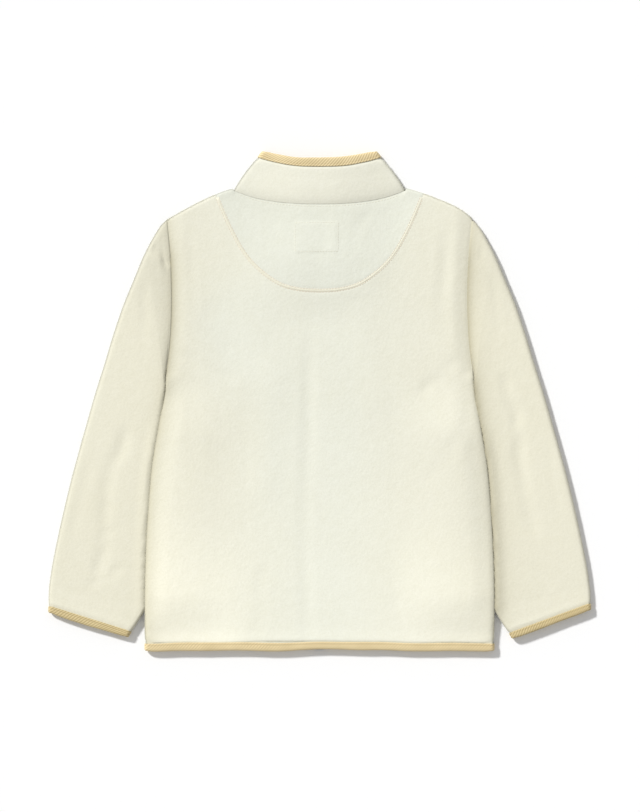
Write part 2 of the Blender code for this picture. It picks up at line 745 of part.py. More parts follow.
def sleeve_loop(rows, index, hand):
    """Middle of a sleeve's wall round one section, from the outer edge over the top."""
    row = rows[index]
    inset = BINDING_HALF if row["rise"] > BINDING_RISE * 0.9 else CLOTH / 2
    outer_reach = row["loft"] / 2
    inner_reach = outer_reach if row["rise"] > 0.0 else PRESSED_LOFT / 2
    out_way = fold_way(rows, index, "out", 1.0)
    in_way = fold_way(rows, index, "in", -1.0)
    if index == 0:
        out_way = (row["out"] - row["in"]).normalized()
        in_way = in_way.lerp(-out_way, UNDERARM_TURN).normalized()
    turns = [math.radians(angle) for angle in ROLL_ANGLES]
    flat_from = row["out"] - out_way * (inset + outer_reach)
    flat_to = row["in"] - in_way * (inset + inner_reach)
    way = [(flat_from + out_way * outer_reach * math.sin(turn), math.cos(turn))
           for turn in turns[::-1]]
    way += [(flat_from.lerp(flat_to, step / SLEEVE_STATIONS), 1.0)
            for step in range(1, SLEEVE_STATIONS)]
    way += [(flat_to + in_way * inner_reach * math.sin(turn), math.cos(turn))
            for turn in turns]
    loop = [(plan, c, "over") for plan, c in way] + [(plan, c, "under") for plan, c in way[-2::-1]]
    points = []
    for plan, c, layer in loop:
        if row["bow"]:
            share = (row["out"] - plan).length / (row["out"] - row["in"]).length
            bend = side_line(plan.y) - mix(SHOULDER_TIP, side_line(UNDERARM_UP), share)
            plan = plan + Vector((bend * row["bow"], 0.0))
        points.append((plan, sleeve_height(plan, c, layer, row, hand)))
    return points


def sleeve_height(plan, roundness, layer, row, hand):
    """Height of the middle of the wall: lofted where it shows, flat under the body."""
    free = plan.x - side_line(plan.y)
    pressed = min(row["loft"], PRESSED_LOFT)
    loft = mix(pressed, row["loft"], ease((free - 1.0) / 15.0))
    if row["rise"] > 0.0:
        loft = row["loft"]
    if row["bow"] == 1.0:
        loft = mix(PRESSED_LOFT, ARMHOLE_LEVEL - FRONT_LEVEL, ease((plan.y - UNDERARM_UP) / 12.0))
    low = FRONT_LEVEL + row["rise"]
    middle = low + loft / 2
    if layer == "under":
        return mix(middle, low, roundness)
    relief = fold_relief(hand, plan.x * sign_of(hand), plan.y) * ease((row["loft"] - 3.4) / 2.0)
    return mix(middle, low + loft - relief, roundness)


def build_sleeve(hand):
    deep = CUFF_BINDING * (1.0 - CORNER_EASE) - BINDING_ROOM
    rows = sleeve_rows(hand, (-9.0, -2.0, 0.3, deep))
    sign = sign_of(hand)
    loops = [[place(sign * plan.x, plan.y, height)
              for plan, height in sleeve_loop(rows, index, hand)] for index in range(len(rows))]
    last = len(rows) - 1
    cloth_piece(f"sleeve_{hand}", lambda column, row: loops[row][column],
                len(loops[0]), len(loops), "sleeve_fleece", thin=(last - 1, last))
    rows = sleeve_rows(hand, (-9.0, -2.0, 0.0, deep))
    edge_out, edge_in = rows[-2]["out"], rows[-2]["in"]
    width = (edge_in - edge_out).length
    rim = []
    for plan, height in sleeve_loop(rows, last - 1, hand)[:-1]:
        along = (plan - edge_out).length
        way = CUFF_OUT_WAY.lerp(CUFF_IN_WAY, along / width).normalized()
        corner = min(along, width - along) - BINDING_HALF
        rim.append((place(sign * plan.x, plan.y, height), Vector((sign * way.x, way.y, 0.0)),
                    corner))
    bind_edge(f"cuff_binding_{hand}", rim, CUFF_BINDING, "binding_twill", closed=True)


# ---- zip --------------------------------------------------------------------------------
def zip_line(up):
    """Middle of the fronts' wall along the zip."""
    top = collar_front_top(0.0)
    return front_height(0.0, up) + binding_rise(top - up)


def zip_stations(low, high, count):
    return [mix(low, high, step / count) for step in range(count + 1)]


def build_zip_tapes():
    """Tapes on the inside of the fronts, moved out from the fronts' own wall."""
    ups = zip_stations(HEM_BINDING + HEM_DIP + 0.6, collar_front_top(0.0) - 0.6, 22)
    offset = CLOTH / 2 + TAPE_GAP + TAPE_THICK / 2
    for hand in ("left", "right"):
        sign = sign_of(hand)
        edges = (TAPE_INNER, (TAPE_INNER + TAPE_OUTER) / 2, TAPE_OUTER)
        cloth_piece(f"zip_tape_{hand}",
                    lambda column, row: place(sign * edges[column], ups[row],
                                              zip_line(ups[row]) + offset),
                    len(edges), len(ups), "zip_tape", thickness=TAPE_THICK)


def build_zip_chain():
    """Closed row of teeth as one bar, from the bottom box to the slider."""
    ups = zip_stations(BOX_LENGTH + 2.4, SLIDER_UP + 0.4, 22)
    half = CHAIN_WIDTH / 2
    cloth_piece("zip_chain",
                lambda column, row: place((-half, half)[column], ups[row],
                                          zip_line(ups[row]) + CHAIN_RISE),
                2, len(ups), "zip_chain", thickness=CHAIN_THICK)


def build_zip_box():
    middle = BOX_LENGTH / 2 + 1.8
    height = zip_line(HEM_BINDING) - FRONT_LEVEL + 0.2 + BOX_THICK / 2 - 0.7
    block("zip_box", (BOX_WIDTH, BOX_LENGTH, BOX_THICK), place(0.0, middle, height),
          "zip_metal", bevel=0.5)


def slider_levels():
    """Heights of the slider's plates and of the pull tab's pivot."""
    reach = SLIDER_LENGTH / 2
    chain_under = zip_line(SLIDER_UP - reach) + CHAIN_RISE - CHAIN_THICK / 2
    tape_over = zip_line(SLIDER_UP + reach) + CLOTH / 2 + TAPE_GAP + TAPE_THICK
    lower_plate = chain_under - 0.3 - PLATE_THICK / 2
    upper_plate = tape_over + 0.3 + PLATE_THICK / 2
    pivot = lower_plate - PLATE_THICK / 2 - PIVOT_ROOM
    return lower_plate, upper_plate, pivot


def build_slider():
    """Two plates round the chain, joined by a core above it, with a lug for the tab."""
    lower, upper, pivot = slider_levels()
    plate = (SLIDER_WIDTH, SLIDER_LENGTH, PLATE_THICK)
    slider = block("zip_slider", plate, place(0.0, SLIDER_UP, lower), "zip_metal", 0.3)
    top_plate = block("slider_upper_plate", plate, place(0.0, SLIDER_UP, upper), "zip_metal",
                      0.3, CUTTERS)
    core = block("slider_core", (SLIDER_CORE, 4.0, upper - lower),
                 place(0.0, SLIDER_UP + 2.8, (lower + upper) / 2), "zip_metal", 0.0, CUTTERS)
    lug_low = pivot - PIVOT_ROOM - LUG_BAR
    lug_height = lower - lug_low
    lug = block("slider_lug", (LUG_WIDTH, LUG_LENGTH, lug_height),
                place(0.0, SLIDER_UP, lug_low + lug_height / 2), "zip_metal", 0.0, CUTTERS)
    eye = block("slider_eye", (LUG_WIDTH * 2, LUG_LENGTH - 2 * LUG_BAR, 2 * PIVOT_ROOM),
                place(0.0, SLIDER_UP, pivot), "zip_metal", 0.0, CUTTERS)
    combine(slider, top_plate, "UNION")
    combine(slider, core, "UNION")
    combine(slider, lug, "UNION")
    combine(slider, eye, "DIFFERENCE")


def rounded_outline(low_x, low_y, high_x, high_y, radius, steps=4):
    corners = ((high_x - radius, high_y - radius, 0), (low_x + radius, high_y - radius, 90),
               (low_x + radius, low_y + radius, 180), (high_x - radius, low_y + radius, 270))
    points = []
    for x, y, turn in corners:
        for step in range(steps + 1):
            angle = math.radians(turn + 90.0 * step / steps)
            points.append((x + radius * math.cos(angle), y + radius * math.sin(angle)))
    return points


def build_pull_tab():
    """Flat tab with a slot that the slider's lug passes through; its origin is the pivot."""
    _, _, pivot = slider_levels()
    curve = bpy.data.curves.new("zip_pull_tab", "CURVE")
    curve.dimensions = "2D"
    curve.fill_mode = "BOTH"
    curve.extrude = TAB_THICK / 2 * MM
    half = TAB_WIDTH / 2
    slot = TAB_SLOT_WIDTH / 2
    outline = rounded_outline(-half, TAB_BAR_HALF - TAB_LENGTH, half, TAB_BAR_HALF, 1.1)
    hole = rounded_outline(-slot, -TAB_BAR_HALF - TAB_SLOT_LENGTH, slot, -TAB_BAR_HALF, 0.4, 2)
    for points in (outline, hole):
        spline = curve.splines.new("POLY")
        spline.points.add(len(points) - 1)
        for target, (x, y) in zip(spline.points, points):
            target.co = (x * MM, y * MM, 0.0, 1.0)
        spline.use_cyclic_u = True
    curve.materials.append(material("zip_metal", *FINISHES["zip_metal"]))
    tab = bpy.data.objects.new("zip_pull_tab", curve)
    tab.location = place(0.0, SLIDER_UP, pivot)
    bpy.data.collections[PARTS].objects.link(tab)
    weld = tab.modifiers.new("weld", "WELD")
    weld.merge_threshold = 0.00001


def main():
    for obj in list(bpy.data.objects):
        bpy.data.objects.remove(obj, do_unlink=True)
    for name in (PARTS, CUTTERS):
        collection = bpy.data.collections.get(name) or bpy.data.collections.new(name)
        if name not in bpy.context.scene.collection.children:
            bpy.context.scene.collection.children.link(collection)
    build_back()
    build_half_moon()
    build_fronts()
    build_collar()
    build_hem_binding()
    for hand in ("left", "right"):
        build_sleeve(hand)
    build_zip_tapes()
    build_zip_chain()
    build_zip_box()
    build_slider()
    build_pull_tab()


main()
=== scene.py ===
import math
import random

import bpy
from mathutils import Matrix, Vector, noise
from mathutils.bvhtree import BVHTree


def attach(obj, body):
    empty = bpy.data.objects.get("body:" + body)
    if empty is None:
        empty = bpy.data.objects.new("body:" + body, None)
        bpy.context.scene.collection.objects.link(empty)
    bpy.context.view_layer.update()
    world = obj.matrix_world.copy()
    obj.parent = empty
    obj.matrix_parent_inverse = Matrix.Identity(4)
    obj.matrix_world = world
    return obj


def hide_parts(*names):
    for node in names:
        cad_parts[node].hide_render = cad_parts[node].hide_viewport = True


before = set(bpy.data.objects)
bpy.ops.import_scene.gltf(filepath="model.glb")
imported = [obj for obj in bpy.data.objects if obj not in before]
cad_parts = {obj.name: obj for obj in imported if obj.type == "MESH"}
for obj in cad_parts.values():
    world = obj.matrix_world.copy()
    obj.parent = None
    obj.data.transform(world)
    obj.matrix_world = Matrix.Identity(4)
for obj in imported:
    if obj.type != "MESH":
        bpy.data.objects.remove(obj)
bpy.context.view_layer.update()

garment = "garment"
mm = 0.001
originUp = 250                  # height of the world's origin above the hem, millimetres
aboveFloor = 0.00002            # lowest that any cloth or thread may lie
upward = Vector((0, 0, 1))
print("frame loaded", len(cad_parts), "nodes")

# where the camera and the lights stand, metres; the picture is 640 by 812 millimetres of floor
studio = {
    "pictureHeight": 0.812,
    "aim": (0.0005, -0.004),
    "cameraHeight": 3,
    "focusHeight": 0.008,
    "sensor": 36,
    "sunWay": (1, -1, -0.98),    # light travels to the lower right
    "sunPower": 3.15,
    "sunAngle": 6,                 # degrees
    "skyPower": 0.465,
    "floorSize": 8,
}


def setUpStudio():
    scene = bpy.context.scene
    scene.view_settings.view_transform = "Standard"
    camera = bpy.data.objects.new("camera", bpy.data.cameras.new("camera"))
    distance = studio["cameraHeight"] - studio["focusHeight"]
    camera.data.sensor_width = studio["sensor"]
    camera.data.lens = studio["sensor"] * distance / studio["pictureHeight"]
    camera.location = (*studio["aim"], studio["cameraHeight"])
    camera.data.clip_end = 50
    scene.collection.objects.link(camera)
    scene.camera = camera

    sun = bpy.data.objects.new("sun", bpy.data.lights.new("sun", "SUN"))
    sun.data.energy = studio["sunPower"]
    sun.data.angle = math.radians(studio["sunAngle"])
    sun.rotation_mode = "QUATERNION"
    sun.rotation_quaternion = Vector(studio["sunWay"]).to_track_quat("-Z", "Y")
    scene.collection.objects.link(sun)

    world = bpy.data.worlds.new("studio")
    world.use_nodes = True
    sky = world.node_tree.nodes["Background"]
    sky.inputs["Color"].default_value = (1, 1, 1, 1)
    sky.inputs["Strength"].default_value = studio["skyPower"]
    scene.world = world

    half = studio["floorSize"] / 2
    mesh = bpy.data.meshes.new("floor")
    corners = [(-half, -half), (half, -half), (half, half), (-half, half)]
    mesh.from_pydata([(x, y, -0.0003) for x, y in corners], [], [(0, 1, 2, 3)])
    floor = bpy.data.objects.new("floor", mesh)
    scene.collection.objects.link(floor)
    paint = bpy.data.materials.new("palePaper")
    paint.use_nodes = True
    shader = paint.node_tree.nodes["Principled BSDF"]
    shader.inputs["Base Color"].default_value = (0.97, 0.97, 0.97, 1)
    shader.inputs["Roughness"].default_value = 0.95
    shader.inputs["Specular IOR Level"].default_value = 0.1
    mesh.materials.append(paint)


setUpStudio()
print("studio ready")


# small helpers; lengths in the tables are millimetres
def ease(x):
    x = min(1, max(0, x))
    return x * x * (3 - 2 * x)


def mix(a, b, t):
    return a + (b - a) * t


def along(rows, at, column=1):      # smooth curve through a table
    at = min(rows[-1][0], max(rows[0][0], at))
    last = len(rows) - 1
    i = 0
    while at > rows[i + 1][0]:
        i += 1

    def slope(k):
        low, high = max(0, k - 1), min(last, k + 1)
        return (rows[high][column] - rows[low][column]) / (rows[high][0] - rows[low][0])

    span = rows[i + 1][0] - rows[i][0]
    s = (at - rows[i][0]) / span
    return (rows[i][column] * (1 + 2 * s) * (1 - s) ** 2 + slope(i) * span * s * (1 - s) ** 2
            + rows[i + 1][column] * s * s * (3 - 2 * s) + slope(i + 1) * span * s * s * (s - 1))


def spot(across, up, height):
    return Vector((across * mm, (up - originUp) * mm, height * mm))


def linear(red, green, blue):       # screen colour 0-255 to shader colour
    values = []
    for c in (red, green, blue):
        c /= 255
        values.append(c / 12.92 if c <= 0.04045 else ((c + 0.055) / 1.055) ** 2.4)
    return (*values, 1)


def times(colour, share):           # darkens a shader colour
    return tuple(c * k for c, k in zip(colour, share)) + (1,)


# materials
def newFinish(name, roughness, **settings):
    finish = bpy.data.materials.new(name)
    finish.use_nodes = True
    tree = finish.node_tree
    shader = tree.nodes["Principled BSDF"]
    shader.inputs["Roughness"].default_value = roughness
    for socket, value in settings.items():
        shader.inputs[socket.replace("_", " ")].default_value = value
    where = tree.nodes.new("ShaderNodeTexCoord").outputs["Object"]
    return finish, tree, shader, where


def addNode(tree, kind, **values):
    made = tree.nodes.new(kind)
    for key, value in values.items():
        if key in made.inputs:
            made.inputs[key].default_value = value
        else:
            setattr(made, key, value)
    return made


def noiseAt(tree, where, scale, detail=3, roughness=0.55):
    made = addNode(tree, "ShaderNodeTexNoise", Scale=scale, Detail=detail, Roughness=roughness)
    tree.links.new(where, made.inputs["Vector"])
    return made.outputs["Fac"]


def tint(tree, factor, dark, light, low=0.3, high=0.7):
    ramp = tree.nodes.new("ShaderNodeValToRGB")
    ramp.color_ramp.elements[0].position = low
    ramp.color_ramp.elements[0].color = dark
    ramp.color_ramp.elements[1].position = high
    ramp.color_ramp.elements[1].color = light
    tree.links.new(factor, ramp.inputs["Fac"])
    return ramp.outputs["Color"]


def multiply(tree, first, second, amount=1):
    made = tree.nodes.new("ShaderNodeMix")
    made.data_type = "RGBA"
    made.blend_type = "MULTIPLY"
    made.inputs["Factor"].default_value = amount
    tree.links.new(first, made.inputs["A"])
    tree.links.new(second, made.inputs["B"])
    return made.outputs["Result"]


def bump(tree, height, strength, distance, under=None):
    made = addNode(tree, "ShaderNodeBump", Strength=strength, Distance=distance)
    tree.links.new(height, made.inputs["Height"])
    if under is not None:
        tree.links.new(under, made.inputs["Normal"])
    return made.outputs["Normal"]


fleeceLook = {
    "napScale": 760,       # noise per metre
    "tuftScale": 330,
    "mottleScale": 120,
    "cloudScale": 11,
    "napDepth": 0.00023,
    "tuftDepth": 0.00032,
}


def makeFleece(name, colour):
    finish, tree, shader, where = newFinish(name, 0.95, Sheen_Weight=0.35,
                                            Sheen_Roughness=0.5, Specular_IOR_Level=0.12)
    base = linear(*colour)
    darker = times(base, (0.98, 0.978, 0.965))
    mottle = tint(tree, noiseAt(tree, where, fleeceLook["mottleScale"], 4), darker, base)
    cloud = tint(tree, noiseAt(tree, where, fleeceLook["cloudScale"], 2),
                 (0.985, 0.982, 0.97, 1), (1, 1, 1, 1))
    nap = noiseAt(tree, where, fleeceLook["napScale"], 4, 0.65)
    fibre = tint(tree, nap, (0.945, 0.94, 0.925, 1), (1, 1, 1, 1), 0.32, 0.6)
    colourOut = multiply(tree, multiply(tree, mottle, cloud), fibre)
    # the vertex tone brings in the painted light and shade, and the tints
    tone = addNode(tree, "ShaderNodeVertexColor", layer_name="tone")
    colourOut = multiply(tree, colourOut, tone.outputs["Color"])
    tree.links.new(colourOut, shader.inputs["Base Color"])
    tufts = addNode(tree, "ShaderNodeTexVoronoi", feature="SMOOTH_F1",
                    Scale=fleeceLook["tuftScale"], Smoothness=0.8)
    tree.links.new(where, tufts.inputs["Vector"])
    first = bump(tree, tufts.outputs["Distance"], 0.35, fleeceLook["tuftDepth"])
    second = bump(tree, nap, 0.6, fleeceLook["napDepth"], first)
    tree.links.new(second, shader.inputs["Normal"])
    return finish


def makeTwill(name, colour):
    finish, tree, shader, where = newFinish(name, 0.82, Sheen_Weight=0.15,
                                            Sheen_Roughness=0.4, Specular_IOR_Level=0.25)
    uv = addNode(tree, "ShaderNodeUVMap", uv_map="tape").outputs["UV"]
    ribs = addNode(tree, "ShaderNodeTexWave", bands_direction="DIAGONAL", Scale=0.2,
                   Distortion=0.35)
    ribs.inputs["Detail Scale"].default_value = 1.4
    tree.links.new(uv, ribs.inputs["Vector"])
    base = linear(*colour)
    stripes = tint(tree, ribs.outputs["Fac"], times(base, (0.7, 0.665, 0.59)), base, 0, 0.7)
    worn = tint(tree, noiseAt(tree, where, 60, 4), (0.92, 0.91, 0.89, 1),
                (1.04, 1.04, 1.05, 1))
    tree.links.new(multiply(tree, stripes, worn), shader.inputs["Base Color"])
    yarn = noiseAt(tree, where, 2100, 3)
    first = bump(tree, ribs.outputs["Fac"], 0.7, 0.00022)
    second = bump(tree, yarn, 0.3, 0.0001, first)
    tree.links.new(second, shader.inputs["Normal"])
    return finish


def makeFine(name, look, dark, light, scale, strength, distance, **settings):
    # one colour with a fine grain: thread and moulded plastic
    finish, tree, shader, where = newFinish(name, look, **settings)
    grain = noiseAt(tree, where, scale)
    tree.links.new(tint(tree, grain, dark, light), shader.inputs["Base Color"])
    tree.links.new(bump(tree, grain, strength, distance), shader.inputs["Normal"])
    return finish


def makeThread(name, colour):
    base = linear(*colour)
    return makeFine(name, 0.6, times(base, (0.82, 0.82, 0.82)), base, 1700, 0.4, 0.00012,
                    Sheen_Weight=0.2, Sheen_Roughness=0.35, Specular_IOR_Level=0.35)


def makeZipTape():
    finish, tree, shader, where = newFinish("zipTapeWeave", 0.8, Sheen_Weight=0.15,
                                            Sheen_Roughness=0.4, Specular_IOR_Level=0.25)
    ribs = addNode(tree, "ShaderNodeTexWave", bands_direction="DIAGONAL", Scale=420,
                   Distortion=0.5)
    tree.links.new(where, ribs.inputs["Vector"])
    stripes = tint(tree, ribs.outputs["Fac"], linear(196, 184, 150), linear(222, 213, 184),
                   0.15, 0.8)
    worn = tint(tree, noiseAt(tree, where, 70), (0.93, 0.93, 0.92, 1), (1, 1, 1, 1))
    tree.links.new(multiply(tree, stripes, worn), shader.inputs["Base Color"])
    tree.links.new(bump(tree, ribs.outputs["Fac"], 0.6, 0.0002), shader.inputs["Normal"])
    return finish


def makeMetal():
    finish, tree, shader, where = newFinish("satinNickel", 0.34, Metallic=1)
    brushed = addNode(tree, "ShaderNodeMapping", Scale=(1, 0.08, 1))
    tree.links.new(where, brushed.inputs["Vector"])
    lines = noiseAt(tree, brushed.outputs["Vector"], 3800, 4)
    tree.links.new(tint(tree, lines, linear(168, 165, 158), linear(206, 203, 196)),
                   shader.inputs["Base Color"])
    worn = tint(tree, noiseAt(tree, where, 900), (0.28, 0.28, 0.28, 1),
                (0.45, 0.45, 0.45, 1))
    tree.links.new(worn, shader.inputs["Roughness"])
    tree.links.new(bump(tree, lines, 0.2, 0.00005), shader.inputs["Normal"])
    return finish


bodyFleece = makeFleece("bodyFleece", (238, 237, 222))
moonFleece = makeFleece("moonFleece", (238, 238, 224))
sleeveFleece = makeFleece("sleeveFleece", (237, 234, 215))
hemTwill = makeTwill("hemTwill", (238, 219, 174))
cuffTwill = makeTwill("cuffTwill", (218, 200, 153))
seamThread = makeThread("ecruThread", (246, 234, 217))
tapeThread = makeThread("tanThread", (214, 194, 148))
paleThread = makeThread("paleThread", (244, 240, 222))
zipWeave = makeZipTape()
teethPlastic = makeFine("mouldedTeeth", 0.42, linear(206, 193, 158), linear(224, 212, 180),
                        480, 0.15, 0.0001, Specular_IOR_Level=0.5)
nickel = makeMetal()
print("finishes ready")

# the cut of the jacket, millimetres: across from the centre back, up from the hem
cloth = {
    "thick": 2.4,
    "pressed": 0.375,        # share of the wall left inside a binding
    "pressEase": 1.7,
    "tapeRoom": 1.9,         # from the cloth's end to the tape's folded edge
    "cornerLoss": 0.3,       # share of a binding's depth lost at its corners
    "cornerReach": 4.5,
    "seamThin": 0.3,
    "seamReach": 2.4,
    "seamLap": 0.25,         # sewn edges run into each other
    "foldHalfGap": 0.15,
    "frontLevel": 1.2,
    "backLevel": 5.7,
    "armholeLevel": 4.6,
    "underarmUp": 275,
    "armholeTop": 433,
    "armholeAcross": 152.5,
    "hemHalf": 175.3,
    "neckHalf": 86,
    "moonHalf": 103.3,
    "frontNeckDrop": 46,
    "frontNeckCurve": 2.2,
    "underarmRise": 1,
    "zipEdge": 5.5,
    "sideRoll": 6.4,
    "armholeRoll": 2.8,
    "shoulderRoll": 2.4,
    "bindingHalf": 1.75,
    "bindingEase": 14,
    "hemBinding": 8.2,
    "hemBound": 6.3,         # how deep the cloth is pressed
    "hemDip": 1.6,
}
lift = {
    "tuck": 5.3, "tuckStart": 70, "tuckRamp": 73, "tuckTop": 272, "tuckRise": 60,
    "tuckFoot": 6, "tuckFall": 54, "sideSink": 2.2, "sinkWidth": 26,
    "puff": 0.6, "puffWidth": 48, "endEase": 30, "armholeEase": 17,
    "zipFront": 3.4, "zipBack": 4.9, "sliderUp": 445,
    "zipHalfLength": 36, "zipHalfWidth": 12, "zipEase": 34,
    "backHalfLength": 30, "backHalfWidth": 9, "backEase": 78,
}
bodySide = (                # up, across
    (0, 175.3), (60, 175.3), (107, 174), (147, 171.6), (187, 168),
    (227, 161.5), (267, 155.5), (307, 150), (347, 148), (387, 148.6),
    (410, 150.3), (433, 152.5),
)
shoulder = (                # across, up on the left, up on the right
    (84, 465, 465.2), (96, 461.4, 462), (108, 456.4, 457.8), (120, 450.8, 453),
    (132, 444.4, 448), (144, 437.8, 441.2), (152.5, 433, 434),
)
halfMoon = (                # across, up
    (0, 361.2), (20, 362.6), (40, 368.2), (60, 382.3), (75, 399),
    (90, 426), (103.3, 457),
)
backNeck = (                # across, up
    (0, 447.6), (20, 448), (40, 449.6), (55, 451.9), (66, 454.4),
    (76, 457.6), (86, 461.6),
)
bindingRiseHeight = cloth["bindingHalf"] - cloth["frontLevel"]
bindingHigh = cloth["backLevel"] + bindingRiseHeight
bindingRoll = (bindingHigh - cloth["bindingHalf"]) / 2

# soft troughs: from, to, depth, half width; a minus depth is a ridge
creases = {
    "back": (
        ((-11, 324), (-13, 14), 0.62, 12),
        ((127, 430), (124, 316), 0.75, 12),
        ((-132, 418), (-126, 340), 0.32, 11),
        ((-142, 300), (-88, 272), 0.42, 9),
        ((-146, 262), (-104, 214), 0.36, 10),
        ((142, 292), (96, 258), 0.45, 10),
        ((150, 238), (112, 172), 0.34, 12),
        ((-66, 12), (-55, 86), 0.26, 10),
        ((86, 12), (78, 62), 0.24, 9),
        ((-104, 350), (-72, 276), 0.70, 30),
        ((40, 344), (58, 236), -0.40, 24),
        ((-128, 372), (-112, 190), -0.30, 18),
        ((-44, 300), (-56, 150), -0.34, 22),
    ),
    "moon": (
        ((-58, 452), (-40, 410), 0.22, 8),
        ((52, 451), (30, 398), 0.20, 9),
        ((6, 446), (2, 392), 0.18, 10),
    ),
    "frontLeft": (
        ((-60, 396), (-112, 330), 0.55, 10),
        ((-138, 268), (-84, 238), 0.50, 9),
        ((-30, 250), (-36, 80), 0.40, 12),
        ((-96, 14), (-88, 76), 0.35, 9),
    ),
    "frontRight": (
        ((52, 392), (104, 318), 0.50, 11),
        ((140, 262), (90, 226), 0.55, 9),
        ((36, 214), (42, 60), 0.42, 12),
        ((110, 14), (100, 92), 0.35, 10),
    ),
    "left": (
        ((-194, 224), (-214, 158), 0.95, 11),
        ((-214, 158), (-219, 74), 0.90, 11),
        ((-172, 372), (-178, 310), 0.35, 8),
        ((-232, 190), (-244, 118), 0.32, 8),
        ((-196, 84), (-232, 66), 0.38, 8),
        ((-200, 128), (-222, 112), 0.30, 7),
    ),
    "right": (
        ((186, 276), (197, 222), 0.95, 10),
        ((197, 222), (213, 120), 1.00, 11),
        ((170, 380), (182, 318), 0.35, 8),
        ((228, 206), (240, 140), 0.30, 8),
        ((200, 92), (236, 62), 0.36, 8),
    ),
    "leftHead": (
        ((-169, 404), (-148.5, 388.5), 1.7, 5.5),
        ((-170, 397), (-153, 384), -0.8, 7),
    ),
    "rightHead": (
        ((163, 401), (151, 388), 0.7, 5),
    ),
    "leftUnder": (
        ((-186, 300), (-212, 208), 0.55, 10),
        ((-232, 150), (-206, 86), 0.60, 9),
    ),
    "rightUnder": (
        ((184, 310), (214, 226), 0.60, 10),
        ((234, 160), (210, 78), 0.50, 9),
    ),
}


def creaseDepth(on, across, up):
    depth = 0
    for (x0, y0), (x1, y1), deep, halfWidth in creases.get(on, ()):
        dx, dy = x1 - x0, y1 - y0
        long = math.hypot(dx, dy)
        share = ((across - x0) * dx + (up - y0) * dy) / long ** 2
        if not -0.2 < share < 1.2:
            continue
        away = ((across - x0) * dy - (up - y0) * dx) / long
        away += 1.8 * math.sin(share * 5.1 + x0) + 0.8 * math.sin(share * 11.3 + y0)
        if abs(away) > halfWidth:
            continue
        ends = ease(share / 0.3 + 0.4) * ease((1 - share) / 0.3 + 0.4)
        uneven = 0.8 + 0.28 * math.sin(share * 7.7 + x1)
        depth += deep * uneven * ends * ease(1 - abs(away) / halfWidth)
    return depth


def sideLine(up):
    return along(bodySide, up)


def shoulderEdge(across):
    return along(shoulder, abs(across), 1 if across < 0 else 2) - cloth["thick"] / 2


def moonLine(across):
    return along(halfMoon, abs(across))


def backNeckLine(across):
    return along(backNeck, abs(across))


def frontNeckLine(across):
    half = cloth["neckHalf"] - cloth["thick"] / 2
    share = min(1, abs(across) / half)
    return backNeckLine(half) - cloth["frontNeckDrop"] * (1 - share ** cloth["frontNeckCurve"])


def hemLine(across):        # the hem is a little wavy where the tape drew the cloth in
    wave = 0.42 * math.sin(across / 23 + 0.4) + 0.26 * math.sin(across / 10.7 + 2)
    return (cloth["hemBinding"] + cloth["hemDip"] * max(0, 1 - (across / cloth["hemHalf"]) ** 2)
            + wave * ease((cloth["hemHalf"] - abs(across)) / 22))


def tuckLift(across, up):
    return (lift["tuck"] * ease((abs(across) - lift["tuckStart"]) / lift["tuckRamp"])
            * ease((lift["tuckTop"] - up) / lift["tuckRise"])
            * ease((up - lift["tuckFoot"]) / lift["tuckFall"]))


def zipBump(across, up, layer="zip"):
    pastEnd = abs(up - lift["sliderUp"] + 12) - lift[layer + "HalfLength"]
    pastSide = abs(across) - lift[layer + "HalfWidth"]
    soft = lift[layer + "Ease"]
    return ease(1 - pastEnd / soft) * ease(1 - pastSide / soft)


def bindingRise(distance):
    return bindingRiseHeight * (1 - ease(distance / cloth["bindingEase"]))


def armholeShare(up):
    return ease((up - cloth["underarmUp"] + 4) / 10)


def frontHeight(across, up):
    return (cloth["frontLevel"] + tuckLift(across, up) + lift["zipFront"] * zipBump(across, up)
            + bindingRise(up - hemLine(across)))


def backHeight(across, up):
    inside = sideLine(up) - abs(across)
    ends = lift["endEase"]
    puff = lift["puff"] * ease(1 - inside / lift["puffWidth"]) * ease((up - 10) / ends)
    puff -= (lift["sideSink"] * ease(1 - inside / lift["sinkWidth"]) * ease((up - 20) / ends)
             * ease((cloth["underarmUp"] - up) / ends))
    level = (cloth["backLevel"] + tuckLift(across, up) + puff
             + lift["zipBack"] * zipBump(across, up, "back")
             + bindingRise(up - hemLine(across)))
    sewnDown = armholeShare(up) * (1 - ease(inside / lift["armholeEase"]))
    return mix(level, cloth["armholeLevel"], sewnDown)


def bodyEdge(up):
    bound = 1 - ease((up - cloth["hemBinding"]) / cloth["bindingEase"])
    inset = mix(cloth["thick"] / 2, cloth["bindingHalf"], bound)
    return sideLine(up) - mix(inset, -cloth["seamLap"], armholeShare(up))


def sideRoll(up):
    high = mix(cloth["sideRoll"], cloth["armholeRoll"], ease((up - 236) / 26))
    return mix(bindingRoll, high, ease((up - cloth["hemBinding"]) / cloth["bindingEase"]))


def rollShare(distance, reach):
    if distance >= reach:
        return 0
    return 1 - math.sqrt(max(0, 1 - ((reach - distance) / reach) ** 2))


def bodyMiddle(layer, across, up):      # height of the middle of a body panel's cloth
    low, high = frontHeight(across, up), backHeight(across, up)
    middle = (low + high) / 2
    share = armholeShare(up)
    side = rollShare(bodyEdge(up) - abs(across), sideRoll(up))
    reach = min(cloth["shoulderRoll"], (high - low) / 2)
    fold = max((1 - share) * side, rollShare(shoulderEdge(across) - up, reach))
    gap = cloth["foldHalfGap"] * ease(fold)
    if layer == "back":
        bumpUp = ease((up - cloth["underarmUp"] + 19) / 12) * ease(
            (cloth["underarmUp"] + 11 - up) / 10)
        return mix(high, middle, fold) + gap + cloth["underarmRise"] * bumpUp * side
    return mix(low, middle, fold) - gap


# nap relief of the outer face: small tufts, a few millimetres of unevenness, broad waves
napRelief = {"tuft": (3.1, 0.06), "pill": (7.5, 0.07), "wave": (42, 0.14), "broad": (95, 0.34)}


